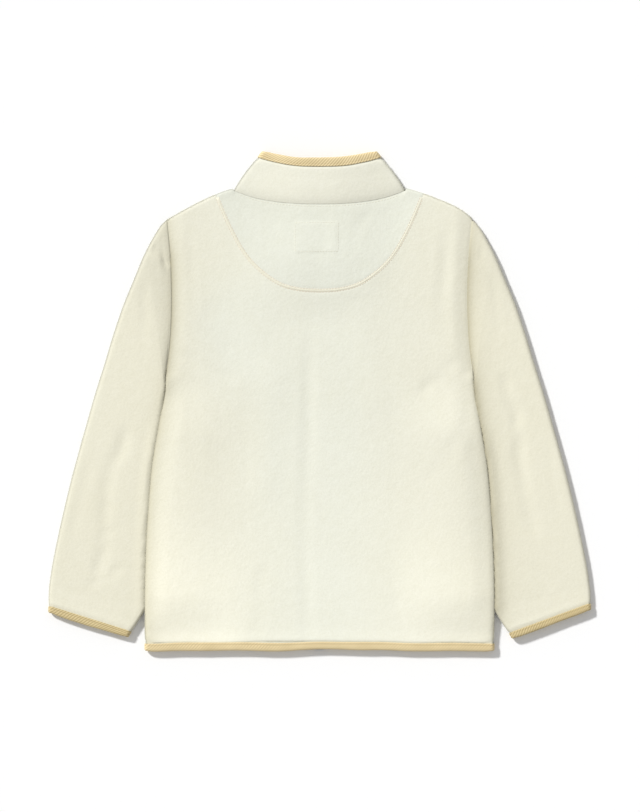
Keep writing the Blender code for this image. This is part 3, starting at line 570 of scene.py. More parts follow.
def nap(point, waves=1):
    total = 0
    for key, (size, height) in napRelief.items():
        strength = waves if key in ("wave", "broad") else 1
        total += noise.noise(point * (1 / (size * mm))) * height * strength
    return total


def plainEdge(distance):
    return 1


def seamEdge(distance):             # cloth is pulled thin where it is sewn
    return 1 - cloth["seamThin"] * math.exp(-(distance / cloth["seamReach"]) ** 2)


def boundEdge(deep):                # cloth is pressed thin inside a binding
    return lambda distance: mix(cloth["pressed"], 1,
                                ease((distance - deep) / cloth["pressEase"]))


def atCorner(width, corner, loss=cloth["cornerLoss"]):      # narrower where it turns over
    return width * (1 - loss * math.exp(-(corner / cloth["cornerReach"]) ** 2))


def runLengths(points):
    total, run = 0, [0]
    for a, b in zip(points, points[1:]):
        total += (b - a).length / mm
        run.append(total)
    return run


def clothShell(names, grid, finish, edges, hint, tones, closed=False, waves=1):
    # names are the piece's own, its slot's, which is not used, and its node's;
    # grid[column][row] is the middle of the cloth; edges are start row, end row, first and
    # last column; hint points out of the cloth
    columns, rows = len(grid), len(grid[0])
    down = [runLengths(column) for column in grid]
    across = [runLengths([grid[c][r] for c in range(columns)]) for r in range(rows)]

    def at(c, r):
        c = c % columns if closed else min(max(c, 0), columns - 1)
        return grid[c][min(max(r, 0), rows - 1)]

    def normalAt(c, r):
        return (at(c + 1, r) - at(c - 1, r)).cross(at(c, r + 1) - at(c, r - 1)).normalized()

    middleNormal = normalAt(columns // 4 if closed else columns // 2, rows // 2)
    turned = 1 if middleNormal.dot(hint) > 0 else -1
    outer, inner, shades = [], [], []
    for c in range(columns):
        for r in range(rows):
            middle = grid[c][r]
            normal = normalAt(c, r) * turned
            width = edges[0](down[c][r]) * edges[1](down[c][-1] - down[c][r])
            if not closed:
                width *= edges[2](across[r][c]) * edges[3](across[r][-1] - across[r][c])
            half = cloth["thick"] / 2 * width
            rise = nap(middle, waves) * ease((width - 0.4) / 0.6)
            out = middle + normal * ((half + rise) * mm)
            out.z = max(out.z, aboveFloor)
            outer.append(out)
            inner.append(middle - normal * (half * mm))
            shades.append(tones(middle.x / mm, middle.y / mm + originUp, normal))
    vertices = outer + inner
    count = columns * rows
    faces = []
    for c in range(columns if closed else columns - 1):
        d = (c + 1) % columns
        for r in range(rows - 1):
            a = (c * rows + r, d * rows + r, d * rows + r + 1, c * rows + r + 1)
            faces.append(a if turned > 0 else a[::-1])
            b = tuple(i + count for i in a)
            faces.append(b[::-1] if turned > 0 else b)
        for r in (0, rows - 1):
            a = (c * rows + r, d * rows + r)
            rim = (a[1], a[0], a[0] + count, a[1] + count)
            faces.append(rim if (r == 0) == (turned > 0) else rim[::-1])
    if not closed:
        for r in range(rows - 1):
            for c in (0, columns - 1):
                a = (c * rows + r, c * rows + r + 1)
                rim = (a[0], a[1], a[1] + count, a[0] + count)
                faces.append(rim if (c == 0) == (turned > 0) else rim[::-1])
    name, slotName, node = names
    return addPiece(name, vertices, faces, finish, node, shades + shades)


def addPiece(name, vertices, faces, finish, node=None, shades=None):
    mesh = bpy.data.meshes.new(name)
    mesh.from_pydata([tuple(v) for v in vertices], [], faces)
    mesh.materials.append(finish)
    mesh.shade_smooth()
    if shades:
        tone = mesh.color_attributes.new("tone", "FLOAT_COLOR", "POINT")
        for point, shade in zip(tone.data, shades):
            point.color = (*shade, 1)
    piece = bpy.data.objects.new(name, mesh)
    bpy.context.scene.collection.objects.link(piece)
    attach(piece, garment)
    if node:
        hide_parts(node)
    return piece


def clothArea(piece):
    return sum(face.area for face in piece.data.polygons) / 2


# painted light and shade, with tints: painted shade in the seams, at folds and on slopes
# facing the sun; painted light towards the hem and at the low sides; left and right levelled
# against the sun; cooler down the middle and in three hollows, warmer at the sides
tintsAndPaintedLight = {
    "seamDark": 0.17, "seamReach": 9, "seamLine": 0.06, "lineReach": 2.6, "seamFade": 0.5,
    "sunnySide": 0.07, "foldDark": 0.32, "sunDark": 0.6, "headDark": 0.05,
    "sideLight": 0.06, "moonLevel": 0.035,
    "cool": (0.985, 1, 1.012), "coolHalf": 95,
    "warm": (1, 0.987, 0.962),
    "hemLight": 0.05, "hemFrom": 260, "hemTo": 40,
    "levelling": 0.045, "levelFrom": 60, "levelRamp": 40,
    "hollows": ((-88, 322, 38), (-12, 190, 30), (-10, 260, 30)),
}


def tinted(amount, tone):
    return [mix(1, t, amount) for t in tone]


# painted shade along a seam: deepest at the seam line, fading away from it, weaker high up
def paintedSeamShade(distance, up, more=0):
    dark = tintsAndPaintedLight["seamDark"] + more
    near = tintsAndPaintedLight["seamLine"] + 2 * max(0, more)
    away = max(0, distance)
    high = 1 - tintsAndPaintedLight["seamFade"] * ease((up - 385) / 40)
    return 1 - high * (dark * math.exp(-away / tintsAndPaintedLight["seamReach"])
                       + near * math.exp(-away / tintsAndPaintedLight["lineReach"]))


def inSeam(light, shade):           # shadow between the pieces is warm
    away = 1 - shade
    return [light * shade, light * shade * (1 - 0.1 * away), light * shade * (1 - 0.4 * away)]


def paintedFoldShade(normal):              # painted shade where the cloth turns over, deeper on slopes facing the sun
    sunny = max(0, normal.y - normal.x) / math.sqrt(2)
    return ((1 - tintsAndPaintedLight["foldDark"] * (1 - abs(normal.z)))
            * (1 - tintsAndPaintedLight["sunDark"] * sunny ** 2))


# painted light and shade on the body: lighter towards the hem and at the low sides, the left
# lightened and the right darkened against the sun, painted shade at the side seams and folds
def bodyTone(across, up, normal):
    cool = math.exp(-(across / tintsAndPaintedLight["coolHalf"]) ** 2)
    for x, y, size in tintsAndPaintedLight["hollows"]:
        cool += 0.8 * math.exp(-((across - x) ** 2 + (up - y) ** 2 * 0.5) / size ** 2)
    light = 1 + tintsAndPaintedLight["hemLight"] * ease((tintsAndPaintedLight["hemFrom"] - up)
                                           / (tintsAndPaintedLight["hemFrom"] - tintsAndPaintedLight["hemTo"]))
    shade = paintedSeamShade(sideLine(up) - abs(across), up,
                      math.copysign(tintsAndPaintedLight["sunnySide"], -across))
    light *= paintedFoldShade(normal)
    light *= 1 + (tintsAndPaintedLight["sideLight"] * ease((abs(across) - tintsAndPaintedLight["levelFrom"]) / 40)
                    * ease((150 - up) / 90))
    light *= 1 - (math.copysign(tintsAndPaintedLight["levelling"], across)
                    * ease((abs(across) - tintsAndPaintedLight["levelFrom"]) / tintsAndPaintedLight["levelRamp"])
                    * ease((tintsAndPaintedLight["hemFrom"] - up) / 70))
    return [a * c * w for a, c, w in zip(inSeam(light, shade),
                                         tinted(min(1, cool), tintsAndPaintedLight["cool"]),
                                         tinted(1 - min(1, cool), tintsAndPaintedLight["warm"]))]


# painted shade along the neck seam and at folds, painted light rising towards the right
def moonTone(across, up, normal):
    light = 1 - 0.4 * (1 - paintedSeamShade(abs(up - backNeckLine(across)), 0))
    light *= 1 + tintsAndPaintedLight["moonLevel"] * math.tanh(across / 45)
    return [light * paintedFoldShade(normal) * c for c in tintsAndPaintedLight["cool"]]


# painted shade along the neck seams and at folds
def collarTone(across, up, normal):
    seam = backNeckLine(across) if normal.z > 0 else frontNeckLine(across)
    light = paintedFoldShade(normal) * (1 - 0.5 * (1 - paintedSeamShade(abs(up - seam), 0)))
    return [light] * 3


# painted shade at folds, towards the sleeve head and beside the body's sides
def sleeveTone(across, up, normal):
    light = paintedFoldShade(normal) * (1 - tintsAndPaintedLight["headDark"] * ease((up - 320) / 60))
    if normal.z <= 0:
        return [light] * 3
    return inSeam(light, paintedSeamShade(abs(across) - sideLine(up), up,
                                   math.copysign(tintsAndPaintedLight["sunnySide"], across)))


# body panels
panelGrid = {"step": 2.6, "frontStep": 3.2}
rollTurns = (0, 15, 30, 45, 60, 75, 90)         # degrees at which a fold is cut into facets


def steps(low, high, size):
    count = max(2, round((high - low) / size))
    return [mix(low, high, i / count) for i in range(count + 1)]


def panelColumns(start, size):
    flat = [("share", s) for s in steps(0, 1, size / (168 - start))]
    return flat[:-1] + [("roll", angle) for angle in rollTurns]


def columnAcross(column, start, up):
    kind, value = column
    edge, roll = bodyEdge(up), sideRoll(up)
    if kind == "share":
        return mix(start, edge - roll, value)
    return edge - roll * (1 - math.sin(math.radians(value)))


def panelRows(low, high, deep, size):
    rolls = [cloth["shoulderRoll"] * (1 - math.sin(math.radians(a)))
             for a in rollTurns]
    through = [low - deep, low - deep / 2, low, low + 0.6, low + 1.3, low + 2.4]
    count = round(400 / size)
    middle = [mix(through[-1], high - 3.6, i / count) for i in range(1, count + 1)]
    return through + middle + [high - d for d in rolls]


def panelTop(layer, across):
    front = layer == "front"
    seam, end = (frontNeckLine, cloth["neckHalf"]) if front else (moonLine, cloth["moonHalf"])
    if abs(across) > end:
        return shoulderEdge(across)
    return min(seam(across), shoulderEdge(across))


def makePanel(name, node, layer, columns, start, edges, size):
    on = "back" if layer == "back" else name        # its table of creases
    grid = []
    for sign, column in columns:
        top = sign * columnAcross(column, start, cloth["armholeTop"])
        foot = columnAcross(column, start, 0)
        corner = bodyEdge(0) - foot
        deep = atCorner(cloth["hemBinding"], corner) - cloth["tapeRoom"]
        line = []
        for up in panelRows(hemLine(foot), panelTop(layer, top), deep, size):
            across = sign * columnAcross(column, start, min(up, cloth["armholeTop"]))
            height = bodyMiddle(layer, across, up)
            inside = ease((bodyEdge(up) - abs(across)) / 6)
            dent = creaseDepth(on, across, up) * inside
            line.append(spot(across, up, height + (dent if layer == "front" else -dent)))
        grid.append(line)
    hint = upward if layer == "back" else -upward
    return clothShell((name, "fleece", node), grid, bodyFleece, edges, hint, bodyTone,
                      waves=1 if layer == "back" else 0.5)


half = panelColumns(0, panelGrid["step"])
columns = [(-1, c) for c in half[:0:-1]] + [(1, c) for c in half]
backPanel = makePanel("backPanel", "back", "back", columns, 0,
                      (boundEdge(cloth["hemBound"]), seamEdge, seamEdge, seamEdge),
                      panelGrid["step"])
print("back panel", len(backPanel.data.polygons), "faces, area", round(clothArea(backPanel), 4))

fronts = {}
for hand, sign in (("Left", -1), ("Right", 1)):
    columns = [(sign, c) for c in panelColumns(cloth["zipEdge"], panelGrid["frontStep"])]
    edges = (boundEdge(cloth["hemBound"]), seamEdge, plainEdge, seamEdge)
    fronts[hand] = makePanel("front" + hand, "front_" + hand.lower(), "front", columns,
                             cloth["zipEdge"], edges, panelGrid["frontStep"])
    print("front", hand, round(clothArea(fronts[hand]), 4))


# half-moon set into the back neck; a patch sewn inside shows through as a faint oblong
labelBox = {"left": -24.5, "right": 18.5, "low": 400, "high": 429, "tilt": 0.6,
            "rise": 0.28, "edge": 1.6}


def patchRise(across, up):
    inside = min(across - labelBox["left"], labelBox["right"] - across,
                 up - labelBox["low"], labelBox["high"] - up)
    return labelBox["rise"] * ease(inside / labelBox["edge"] + 0.5)


def makeHalfMoon():
    grid = []
    for across in steps(-104.2, 104.2, 1.9):
        distance = abs(across)
        low = moonLine(across) - ease((distance - 88) / 10)     # laps at the shoulders
        high = shoulderEdge(across)
        if distance < cloth["neckHalf"]:
            high = min(high, backNeckLine(across))
        reach = min(cloth["shoulderRoll"], (high - low) * 0.6)
        ends = [reach * (1 - math.sin(math.radians(a))) for a in rollTurns]
        ups = [mix(low, high - ends[0], i / 44) for i in range(44)] + [high - e for e in ends]
        line = []
        for up in ups:
            groove = 0.3 * (1 - ease((high - up) / 9)) if distance < cloth["neckHalf"] else 0
            line.append(spot(across, up, bodyMiddle("back", across, up) - groove
                             + patchRise(across, up)
                             - creaseDepth("moon", across, up) * ease((high - up) / 8)))
        grid.append(line)
    return clothShell(("halfMoonPanel", "half_moon_fleece", "back_half_moon"), grid, moonFleece,
                      (seamEdge, seamEdge, plainEdge, plainEdge), upward, moonTone, waves=0.6)


halfMoonPanel = makeHalfMoon()
print("half-moon", round(clothArea(halfMoonPanel), 4))

# stand collar, one length of cloth from zip to zip
collar = {
    "half": 84.8, "topHalf": 60.75, "dip": 40, "dipPower": 1.7, "lean": 38, "bow": 1.5,
    "binding": 9, "bound": 6.9, "step": 2.6,
    "roll": (cloth["backLevel"] - cloth["frontLevel"]) / 2,
}
collarTop = (               # across, up: lower edge of the binding
    (0, 485.3), (24, 486.2), (48, 490.6), (62.5, 494.8),
)


def stationsRound(flat, roll, size):    # from zip to zip: layer, across, degrees turned
    rolls = [(flat + roll * math.sin(math.radians(a)), a) for a in rollTurns]
    fronts = [("front", x, 0) for x in steps(cloth["zipEdge"], flat, size)[:-1]]
    backs = [("back", x, 0) for x in steps(0, flat, size)[:-1]]
    side = fronts + [("front", x, a) for x, a in rolls] + [
        ("back", x, a) for x, a in rolls[-2::-1]] + backs[:0:-1]
    return ([(layer, -x, a) for layer, x, a in side] + [("back", 0, 0)]
            + [(layer, x, a) for layer, x, a in side[::-1]])


def collarStations():
    return stationsRound(collar["half"] - collar["roll"], collar["roll"], collar["step"])


def collarPoint(station, share):
    layer, across, turn = station
    bow = collar["bow"] * math.sin(math.pi * min(1, share)) * abs(across / collar["half"]) ** 3
    start = cloth["zipEdge"] if layer == "front" else 0
    flat = collar["half"] - collar["roll"]
    inward = min(1, (abs(across) - start) / (flat - start))
    topAcross = mix(start, collar["topHalf"] - collar["roll"], inward) + max(
        0, abs(across) - flat)
    topAcross = math.copysign(topAcross, across)
    if layer == "front":
        lowUp = frontNeckLine(across)
        part = min(1, abs(topAcross) / collar["topHalf"])
        highUp = along(collarTop, collar["topHalf"]) - collar["dip"] * (
            1 - part ** collar["dipPower"])
    else:
        lowUp = backNeckLine(across)
        highUp = along(collarTop, abs(topAcross))
    x = mix(across, topAcross, share) + math.copysign(bow, across)
    up = mix(lowUp, highUp, share)
    rise = bindingRise((1 - share) * (highUp - lowUp))
    low = frontHeight(x, up) + rise
    high = cloth["backLevel"] + lift["zipBack"] * zipBump(x, up, "back") + rise
    high -= 0.3 * (1 - ease((up - lowUp) / 9))
    middle = (low + high) / 2
    level = low if layer == "front" else high
    return spot(x, up, mix(middle, level, math.cos(math.radians(turn))))


def collarRim():
    rim = []
    for station in collarStations():
        layer, across, turn = station
        share = across / collar["half"]
        lean = math.radians(collar["lean"]) * share * (abs(share) if layer == "back" else 1)
        rim.append((collarPoint(station, 1),
                    Vector((-math.sin(lean), math.cos(lean), 0)),
                    collar["half"] - abs(across)))
    return rim


def makeCollar():
    stations, rim = collarStations(), collarRim()
    shares = [0, 0.02, 0.045, 0.08] + [0.12 + 0.8 * i / 12 for i in range(13)] + [0.96]
    grid = []
    for station, (edge, outward, corner) in zip(stations, rim):
        line = [collarPoint(station, share) for share in shares]
        deep = atCorner(collar["binding"], corner) - cloth["tapeRoom"]
        line += [edge + outward * (inside * mm) for inside in (0, deep / 2, deep)]
        grid.append(line)
    return clothShell(("collarCloth", "fleece", "collar"), grid, bodyFleece,
                      (seamEdge, boundEdge(collar["bound"]), plainEdge, plainEdge), upward,
                      collarTone, waves=0.5)


collarCloth = makeCollar()
print("collar", round(clothArea(collarCloth), 4))

# sleeves: sections from the armhole to the cuff
sleeveSections = (          # out across, out up, in up, tuck, bow, loft
    (153.1, 433, 275, 0.9, 1.00, 3.4), (160.5, 425.3, 272.5, 2.2, 0.85, 3.9),
    (169, 412.3, 269.5, 2.8, 0.62, 4.8), (178, 395, 266, 3, 0.40, 5.6),
    (187.2, 371.5, 261.5, 3.2, 0.20, 5.8), (196.5, 347.5, 256, 3.4, 0.08, 5.8),
    (206, 318.5, 248, 3.9, 0, 5.8), (215.2, 288, 237.5, 6, 0, 5.8),
    (225, 257, 223, 12.2, 0, 5.8), (232.5, 231, 201, 21.5, 0, 5.8),
    (240.2, 203.5, 172, 25.3, 0, 5.8), (249.5, 168.5, 135, 25.8, 0, 5.8),
    (259.5, 126, 97, 22.2, 0, 5.6), (267, 90, 64, 12.2, 0, 5.2),
    (270.6, 66, 41, 0.2, 0, 4.6),
)
cuffs = {
    "left": {"out": (271.6, 45.4), "in": (188.2, 19.6)},
    "right": {"out": (272, 48), "in": (189.6, 18.2)},
    "outWay": Vector((0, -1)), "inWay": Vector((0.5, -0.86)), "width": 7.4, "bound": 3.6,
    "pressedLoft": 3.2, "tuckedLoft": 2.5, "edgeRise": 1.4, "sectionStep": 3,
}


def sleeveKeys(hand):
    keys = []
    for outAcross, outUp, inUp, tuck, bow, loft in sleeveSections:
        keys.append((outAcross, outUp, sideLine(inUp) - tuck, inUp, bow, loft, 0, 0))
    edgeOut, edgeIn = Vector(cuffs[hand]["out"]), Vector(cuffs[hand]["in"])
    lastOut, lastIn = Vector(keys[-1][:2]), Vector(keys[-1][2:4])
    loft = bindingHigh - cloth["bindingHalf"]
    deep = cuffs["width"] * (1 - cloth["cornerLoss"]) - cloth["tapeRoom"]
    for past in (-9, -2, 0, deep):
        share = max(0, -past) / (lastIn - edgeIn).length
        out = edgeOut.lerp(lastOut, share) + cuffs["outWay"] * max(0, past)
        inn = edgeIn.lerp(lastIn, share) + cuffs["inWay"] * max(0, past)
        bound = 1 if past > -3 else 0
        keys.append((*out, *inn, 0, loft, bindingRise(max(0, -past)), bound))
    return keys


def sleeveRow(keys, t):
    i = min(int(t), len(keys) - 2)
    s = t - i
    values = []
    for column in range(8):
        a, b = keys[i][column], keys[i + 1][column]
        if column < 4 and i < len(keys) - 4:
            before, after = keys[max(0, i - 1)][column], keys[min(len(keys) - 1, i + 2)][column]
            m0 = (b - before) / (2 if i else 1)
            m1 = (after - a) / 2
            values.append(a * (1 + 2 * s) * (1 - s) ** 2 + m0 * s * (1 - s) ** 2
                          + b * s * s * (3 - 2 * s) + m1 * s * s * (s - 1))
        else:
            values.append(mix(a, b, s))
    return values


def sleeveLoop(keys, t, hand, over):
    outX, outY, inX, inY, bow, loft, rise, bound = sleeveRow(keys, t)
    out, inn = Vector((outX, outY)), Vector((inX, inY))
    a, b = sleeveRow(keys, max(0, t - 0.05)), sleeveRow(keys, min(len(keys) - 1, t + 0.05))
    outRun, inRun = Vector((b[0] - a[0], b[1] - a[1])), Vector((b[2] - a[2], b[3] - a[3]))
    outWay = Vector((-outRun.y, outRun.x)).normalized()
    inWay = Vector((inRun.y, -inRun.x)).normalized()
    seam = ease(t / 0.8)
    outWay = (out - inn).normalized().lerp(outWay, seam).normalized()
    inWay = (inn - out).normalized().lerp(inWay, mix(0.2, 1, seam)).normalized()
    inset = mix(cloth["thick"] / 2, cloth["bindingHalf"], bound)
    outReach = loft / 2
    inReach = mix(cuffs["pressedLoft"] / 2, loft / 2, min(1, rise / bindingRiseHeight * 4))
    flatFrom = out - outWay * (inset + outReach)
    flatTo = inn - inWay * (inset + inReach)
    angles = [math.radians(v) for v in rollTurns]
    way = [(flatFrom + outWay * outReach * math.sin(v), math.cos(v)) for v in angles[::-1]]
    way += [(flatFrom.lerp(flatTo, i / over), 1) for i in range(1, over)]
    way += [(flatTo + inWay * inReach * math.sin(v), math.cos(v)) for v in angles]
    loop = [(p, c, "over") for p, c in way] + [(p, c, "under") for p, c in way[-2:0:-1]]
    whole = (out - inn).length
    points = []
    for plan, c, layer in loop:
        if bow:
            share = (out - plan).length / whole
            chord = mix(cloth["armholeAcross"], sideLine(cloth["underarmUp"]), share)
            bend = sideLine(plan.y) - chord
            sewn = mix(0.6, 0.1, share) * (1 - ease(t / 0.7))
            plan = plan + Vector((bend * bow - sewn, 0))
        points.append((plan, c, layer, sleeveHeight(plan, c, layer, t, loft, rise, hand)))
    return points


def sleeveHeight(plan, roundness, layer, t, loft, rise, hand):
    free = plan.x - sideLine(plan.y)
    edge = loft + cuffs["edgeRise"] * ease((240 - plan.y) / 40)
    if free > 0:
        full = mix(edge, loft, ease(free / 12))
    else:
        full = mix(cuffs["tuckedLoft"], edge, math.exp(free / 1.8))
    full = mix(full, loft, min(1, rise / bindingRiseHeight * 4))
    armhole = mix(cuffs["pressedLoft"], cloth["armholeLevel"] - cloth["frontLevel"],
                  ease((plan.y - cloth["underarmUp"]) / 12))
    full = mix(armhole, full, ease(t / 0.9))
    low = cloth["frontLevel"] + rise
    middle = low + full / 2
    x = plan.x * (-1 if hand == "left" else 1)
    soft = ease((loft - 3.2) / 1.2) * ease((free - 2) / 10)
    if layer == "under":
        return mix(middle, low + creaseDepth(hand + "Under", x, plan.y) * soft, roundness)
    dent = creaseDepth(hand, x, plan.y) * soft + creaseDepth(hand + "Head", x, plan.y)
    return mix(middle, low + full - dent, roundness)


def makeSleeve(hand):
    keys = sleeveKeys(hand)
    sign = -1 if hand == "left" else 1
    ts, t = [0], 0
    last = len(keys) - 1
    while t < last - 1e-6:
        a, b = sleeveRow(keys, t), sleeveRow(keys, min(last, t + 0.1))
        run = max(math.hypot(b[0] - a[0], b[1] - a[1]), math.hypot(b[2] - a[2], b[3] - a[3]))
        t = min(last, t + 0.1 * cuffs["sectionStep"] / max(run, 0.05))
        ts.append(t)
    over = 30
    rows = [[spot(sign * p.x, p.y, z) for p, c, layer, z in sleeveLoop(keys, t, hand, over)]
            for t in ts]
    grid = [[row[c] for row in rows] for c in range(len(rows[0]))]
    names = ("sleeve" + hand.capitalize(), "sleeve_fleece", "sleeve_" + hand)
    piece = clothShell(names, grid, sleeveFleece,
                       (seamEdge, boundEdge(cuffs["bound"]), plainEdge, plainEdge), upward,
                       sleeveTone, closed=True, waves=0.8)
    print("sleeve", hand, len(rows), "rows", round(clothArea(piece), 4))
    return piece


sleeves = {hand: makeSleeve(hand) for hand in ("left", "right")}


def tubeFaces(start, rings, sides, loop=False):         # rings joined in order, ends capped
    faces = []
    for i in range(rings if loop else rings - 1):
        a, b = start + i * sides, start + (i + 1) % rings * sides
        for j in range(sides):
            n = (j + 1) % sides
            faces.append((a + j, a + n, b + n, b + j))
    if not loop:
        faces.append(tuple(range(start, start + sides))[::-1])
        faces.append(tuple(range(start + (rings - 1) * sides, start + rings * sides)))
    return faces


# folded tape round the hem, the collar and the cuffs
tape = {"half": 1.75, "wall": 0.8, "stitchIn": 2.3, "stitchDip": 0.2, "cornerLoss": 0.1}


def tapeSection(width):
    # out from the cloth, through the tape; outside first, then back inside
    half, wall = tape["half"], tape["wall"]
    s = tape["stitchIn"]
    top = [(0, half - 0.35), (0.35, half - 0.06), (1, half), (s - 0.45, half - 0.05),
           (s, half - tape["stitchDip"]), (s + 0.45, half - 0.04), (s + 1.1, half + 0.02),
           (width * 0.6, half + 0.02), (width - 1.7, half - 0.02), (width - 0.8, half - 0.35),
           (width - 0.2, half * 0.42)]
    inside = half - wall
    end = width - 1.1
    return (top + [(width, 0)] + [(a, -b) for a, b in top[::-1]]
            + [(0.05, -inside), (end * 0.5, -inside), (end, -inside * 0.8),
               (end, inside * 0.8), (end * 0.5, inside), (0.05, inside)])


def refineRim(rim, size, closed):
    # more points between the rim's own, on a smooth curve
    count = len(rim)
    fine = []
    for i in range(count if closed else count - 1):
        around = [rim[(i + k) % count] if closed else rim[min(count - 1, max(0, i + k))]
                  for k in (-1, 0, 1, 2)]
        pieces = max(1, round((around[2][0] - around[1][0]).length / (size * mm)))
        for k in range(pieces):
            s = k / pieces
            fine.append((around[1][0].lerp(around[2][0], s),
                         around[1][1].lerp(around[2][1], s).normalized(),
                         mix(around[1][2], around[2][2], s)))
    if not closed:
        fine.append(rim[-1])
    return fine


def rimNormals(rim, closed):
    normals = []
    count = len(rim)
    for i, (point, outward, corner) in enumerate(rim):
        before = rim[(i - 1) % count if closed else max(0, i - 1)][0]
        after = rim[(i + 1) % count if closed else min(count - 1, i + 1)][0]
        normals.append(outward.cross(after - before).normalized())
    return normals


def bindEdge(name, rim, width, finish, closed, node, seed):
    rim = refineRim(rim, 1.6, closed)
    normals = rimNormals(rim, closed)
    vertices, run = [], 0
    sides = len(tapeSection(width))
    runs = []
    for i, ((point, outward, corner), normal) in enumerate(zip(rim, normals)):
        if i:
            run += (point - rim[i - 1][0]).length / mm
        runs.append(run)
        wide = atCorner(width, corner, tape["cornerLoss"])
        flat = ease(corner / 12)
        wide += (0.25 * noise.noise(Vector((run / 21, seed, 0)))
                 + 1.3 * noise.noise(Vector((run / 64, seed + 2, 0)))) * flat
        for a, b in tapeSection(wide):
            wave = 0.16 * noise.noise(Vector((run / 13, seed + 5, a / 9))) * flat
            height = b + (wave if abs(b) > 0.5 else 0)
            place = point + outward * (a * mm) + normal * (height * mm)
            place.z = max(place.z, aboveFloor)
            vertices.append(place)
    uvs = []
    section = tapeSection(width)
    lengths = [0]
    for (a0, b0), (a1, b1) in zip(section, section[1:] + section[:1]):
        lengths.append(lengths[-1] + math.hypot(a1 - a0, b1 - b0))
    count = len(rim)
    for i in range(count if closed else count - 1):
        j = (i + 1) % count
        ahead = runs[j] if j else runs[i] + 1.6
        for near, far in zip(lengths, lengths[1:]):
            uvs += [(runs[i], near), (runs[i], far), (ahead, far), (ahead, near)]
    if not closed:
        uvs += [(b, a) for a, b in section[::-1]] + [(b, a) for a, b in section]
    piece = addPiece(name, vertices, tubeFaces(0, count, sides, closed), finish,
                     node)
    layer = piece.data.uv_layers.new(name="tape")
    for loop, uv in zip(layer.data, uvs):
        loop.uv = uv
    return piece, rim, normals


def tapeStitches(name, rim, normals):
    spots = []
    for side in (1, -1):
        line = []
        for (point, outward, corner), normal in zip(rim, normals):
            h = tape["half"] - tape["stitchDip"] + 0.02
            line.append((point + outward * (tape["stitchIn"] * mm) + normal * (side * h * mm),
                         normal * side))
        spots.append(line)
    return sewRows(name, spots, {"long": 2.3, "gap": 0.8, "thick": 0.24}, tapeThread)


def sewRows(name, rows, stitch, finish):
    # each stitch is a short thread that arches out of the cloth and dives back in
    vertices, faces = [], []
    pitch = stitch["long"] + stitch["gap"]
    for row in rows:
        run = runLengths([p for p, n in row])
        count = int(run[-1] / pitch)
        index = 0
        for s in range(count):
            ring = []
            for k in range(7):
                target = s * pitch + stitch["gap"] / 2 + stitch["long"] * k / 6
                while index < len(run) - 2 and run[index + 1] < target:
                    index += 1
                while index > 0 and run[index] > target:
                    index -= 1
                share = (target - run[index]) / max(1e-6, run[index + 1] - run[index])
                point = row[index][0].lerp(row[index + 1][0], share)
                normal = row[index][1].lerp(row[index + 1][1], share).normalized()
                tangent = (row[index + 1][0] - row[index][0]).normalized()
                ring.append((point, normal, tangent))
            start = len(vertices)
            for k, (point, normal, tangent) in enumerate(ring):
                u = k / 3 - 1
                thick = stitch["thick"] * (1 - 0.55 * u ** 4)
                centre = point + normal * ((stitch["thick"] * (0.25 - 1.1 * u ** 4)) * mm)
                side = normal.cross(tangent)
                for j in range(6):
                    angle = math.tau * j / 6
                    place = centre + (side * math.cos(angle) * 1.15
                                      + normal * math.sin(angle)) * (thick * mm)
                    place.z = max(place.z, aboveFloor)
                    vertices.append(place)
            faces += tubeFaces(start, len(ring), 6)
    return addPiece(name, vertices, faces, finish)


def hemRim():
    inner = cloth["hemHalf"] - cloth["bindingHalf"] - bindingRoll
    middle = (bindingHigh + cloth["bindingHalf"]) / 2
    rim = []
    for layer, x, a in stationsRound(inner, bindingRoll, 6):
        level = cloth["bindingHalf"] if layer == "front" else bindingHigh
        height = mix(middle, level, math.cos(math.radians(a)))
        rim.append((spot(x, hemLine(x), height), Vector((0, -1, 0)),
                    inner + bindingRoll - abs(x)))
    return rim


def cuffRim(hand):
    keys = sleeveKeys(hand)
    sign = -1 if hand == "left" else 1
    t = len(keys) - 2
    out, inn = Vector(keys[-2][:2]), Vector(keys[-2][2:4])
    width = (inn - out).length
    rim = []
    for plan, c, layer, z in sleeveLoop(keys, t, hand, 24):
        share = min(1, (plan - out).length / width)
        way = cuffs["outWay"].lerp(cuffs["inWay"], share).normalized()
        corner = min((plan - out).length, (plan - inn).length) - cloth["bindingHalf"]
        rim.append((spot(sign * plan.x, plan.y, z), Vector((sign * way.x, way.y, 0)),
                    max(0, corner)))
    return rim


for name, rim, width, finish, closed, node, seed in (
        ("hemTape", hemRim(), cloth["hemBinding"], hemTwill, False, "hem_binding", 1),
        ("collarTape", collarRim(), collar["binding"], hemTwill, False, "collar_binding", 2),
        ("cuffTapeLeft", cuffRim("left"), cuffs["width"], cuffTwill, True,
         "cuff_binding_left", 3),
        ("cuffTapeRight", cuffRim("right"), cuffs["width"], cuffTwill, True,
         "cuff_binding_right", 4)):
    piece, fineRim, normals = bindEdge(name, rim, width, finish, closed, node, seed)
    tapeStitches(name + "Stitches", fineRim, normals)

# seams that show: found on the finished cloth by dropping on to it
bpy.context.view_layer.update()


def treeOf(*objects):
    vertices, faces = [], []
    for obj in objects:
        start = len(vertices)
        vertices += [v.co.copy() for v in obj.data.vertices]
        faces += [tuple(i + start for i in f.vertices) for f in obj.data.polygons]
    return BVHTree.FromPolygons(vertices, faces)


topCloth = treeOf(backPanel, halfMoonPanel, collarCloth)


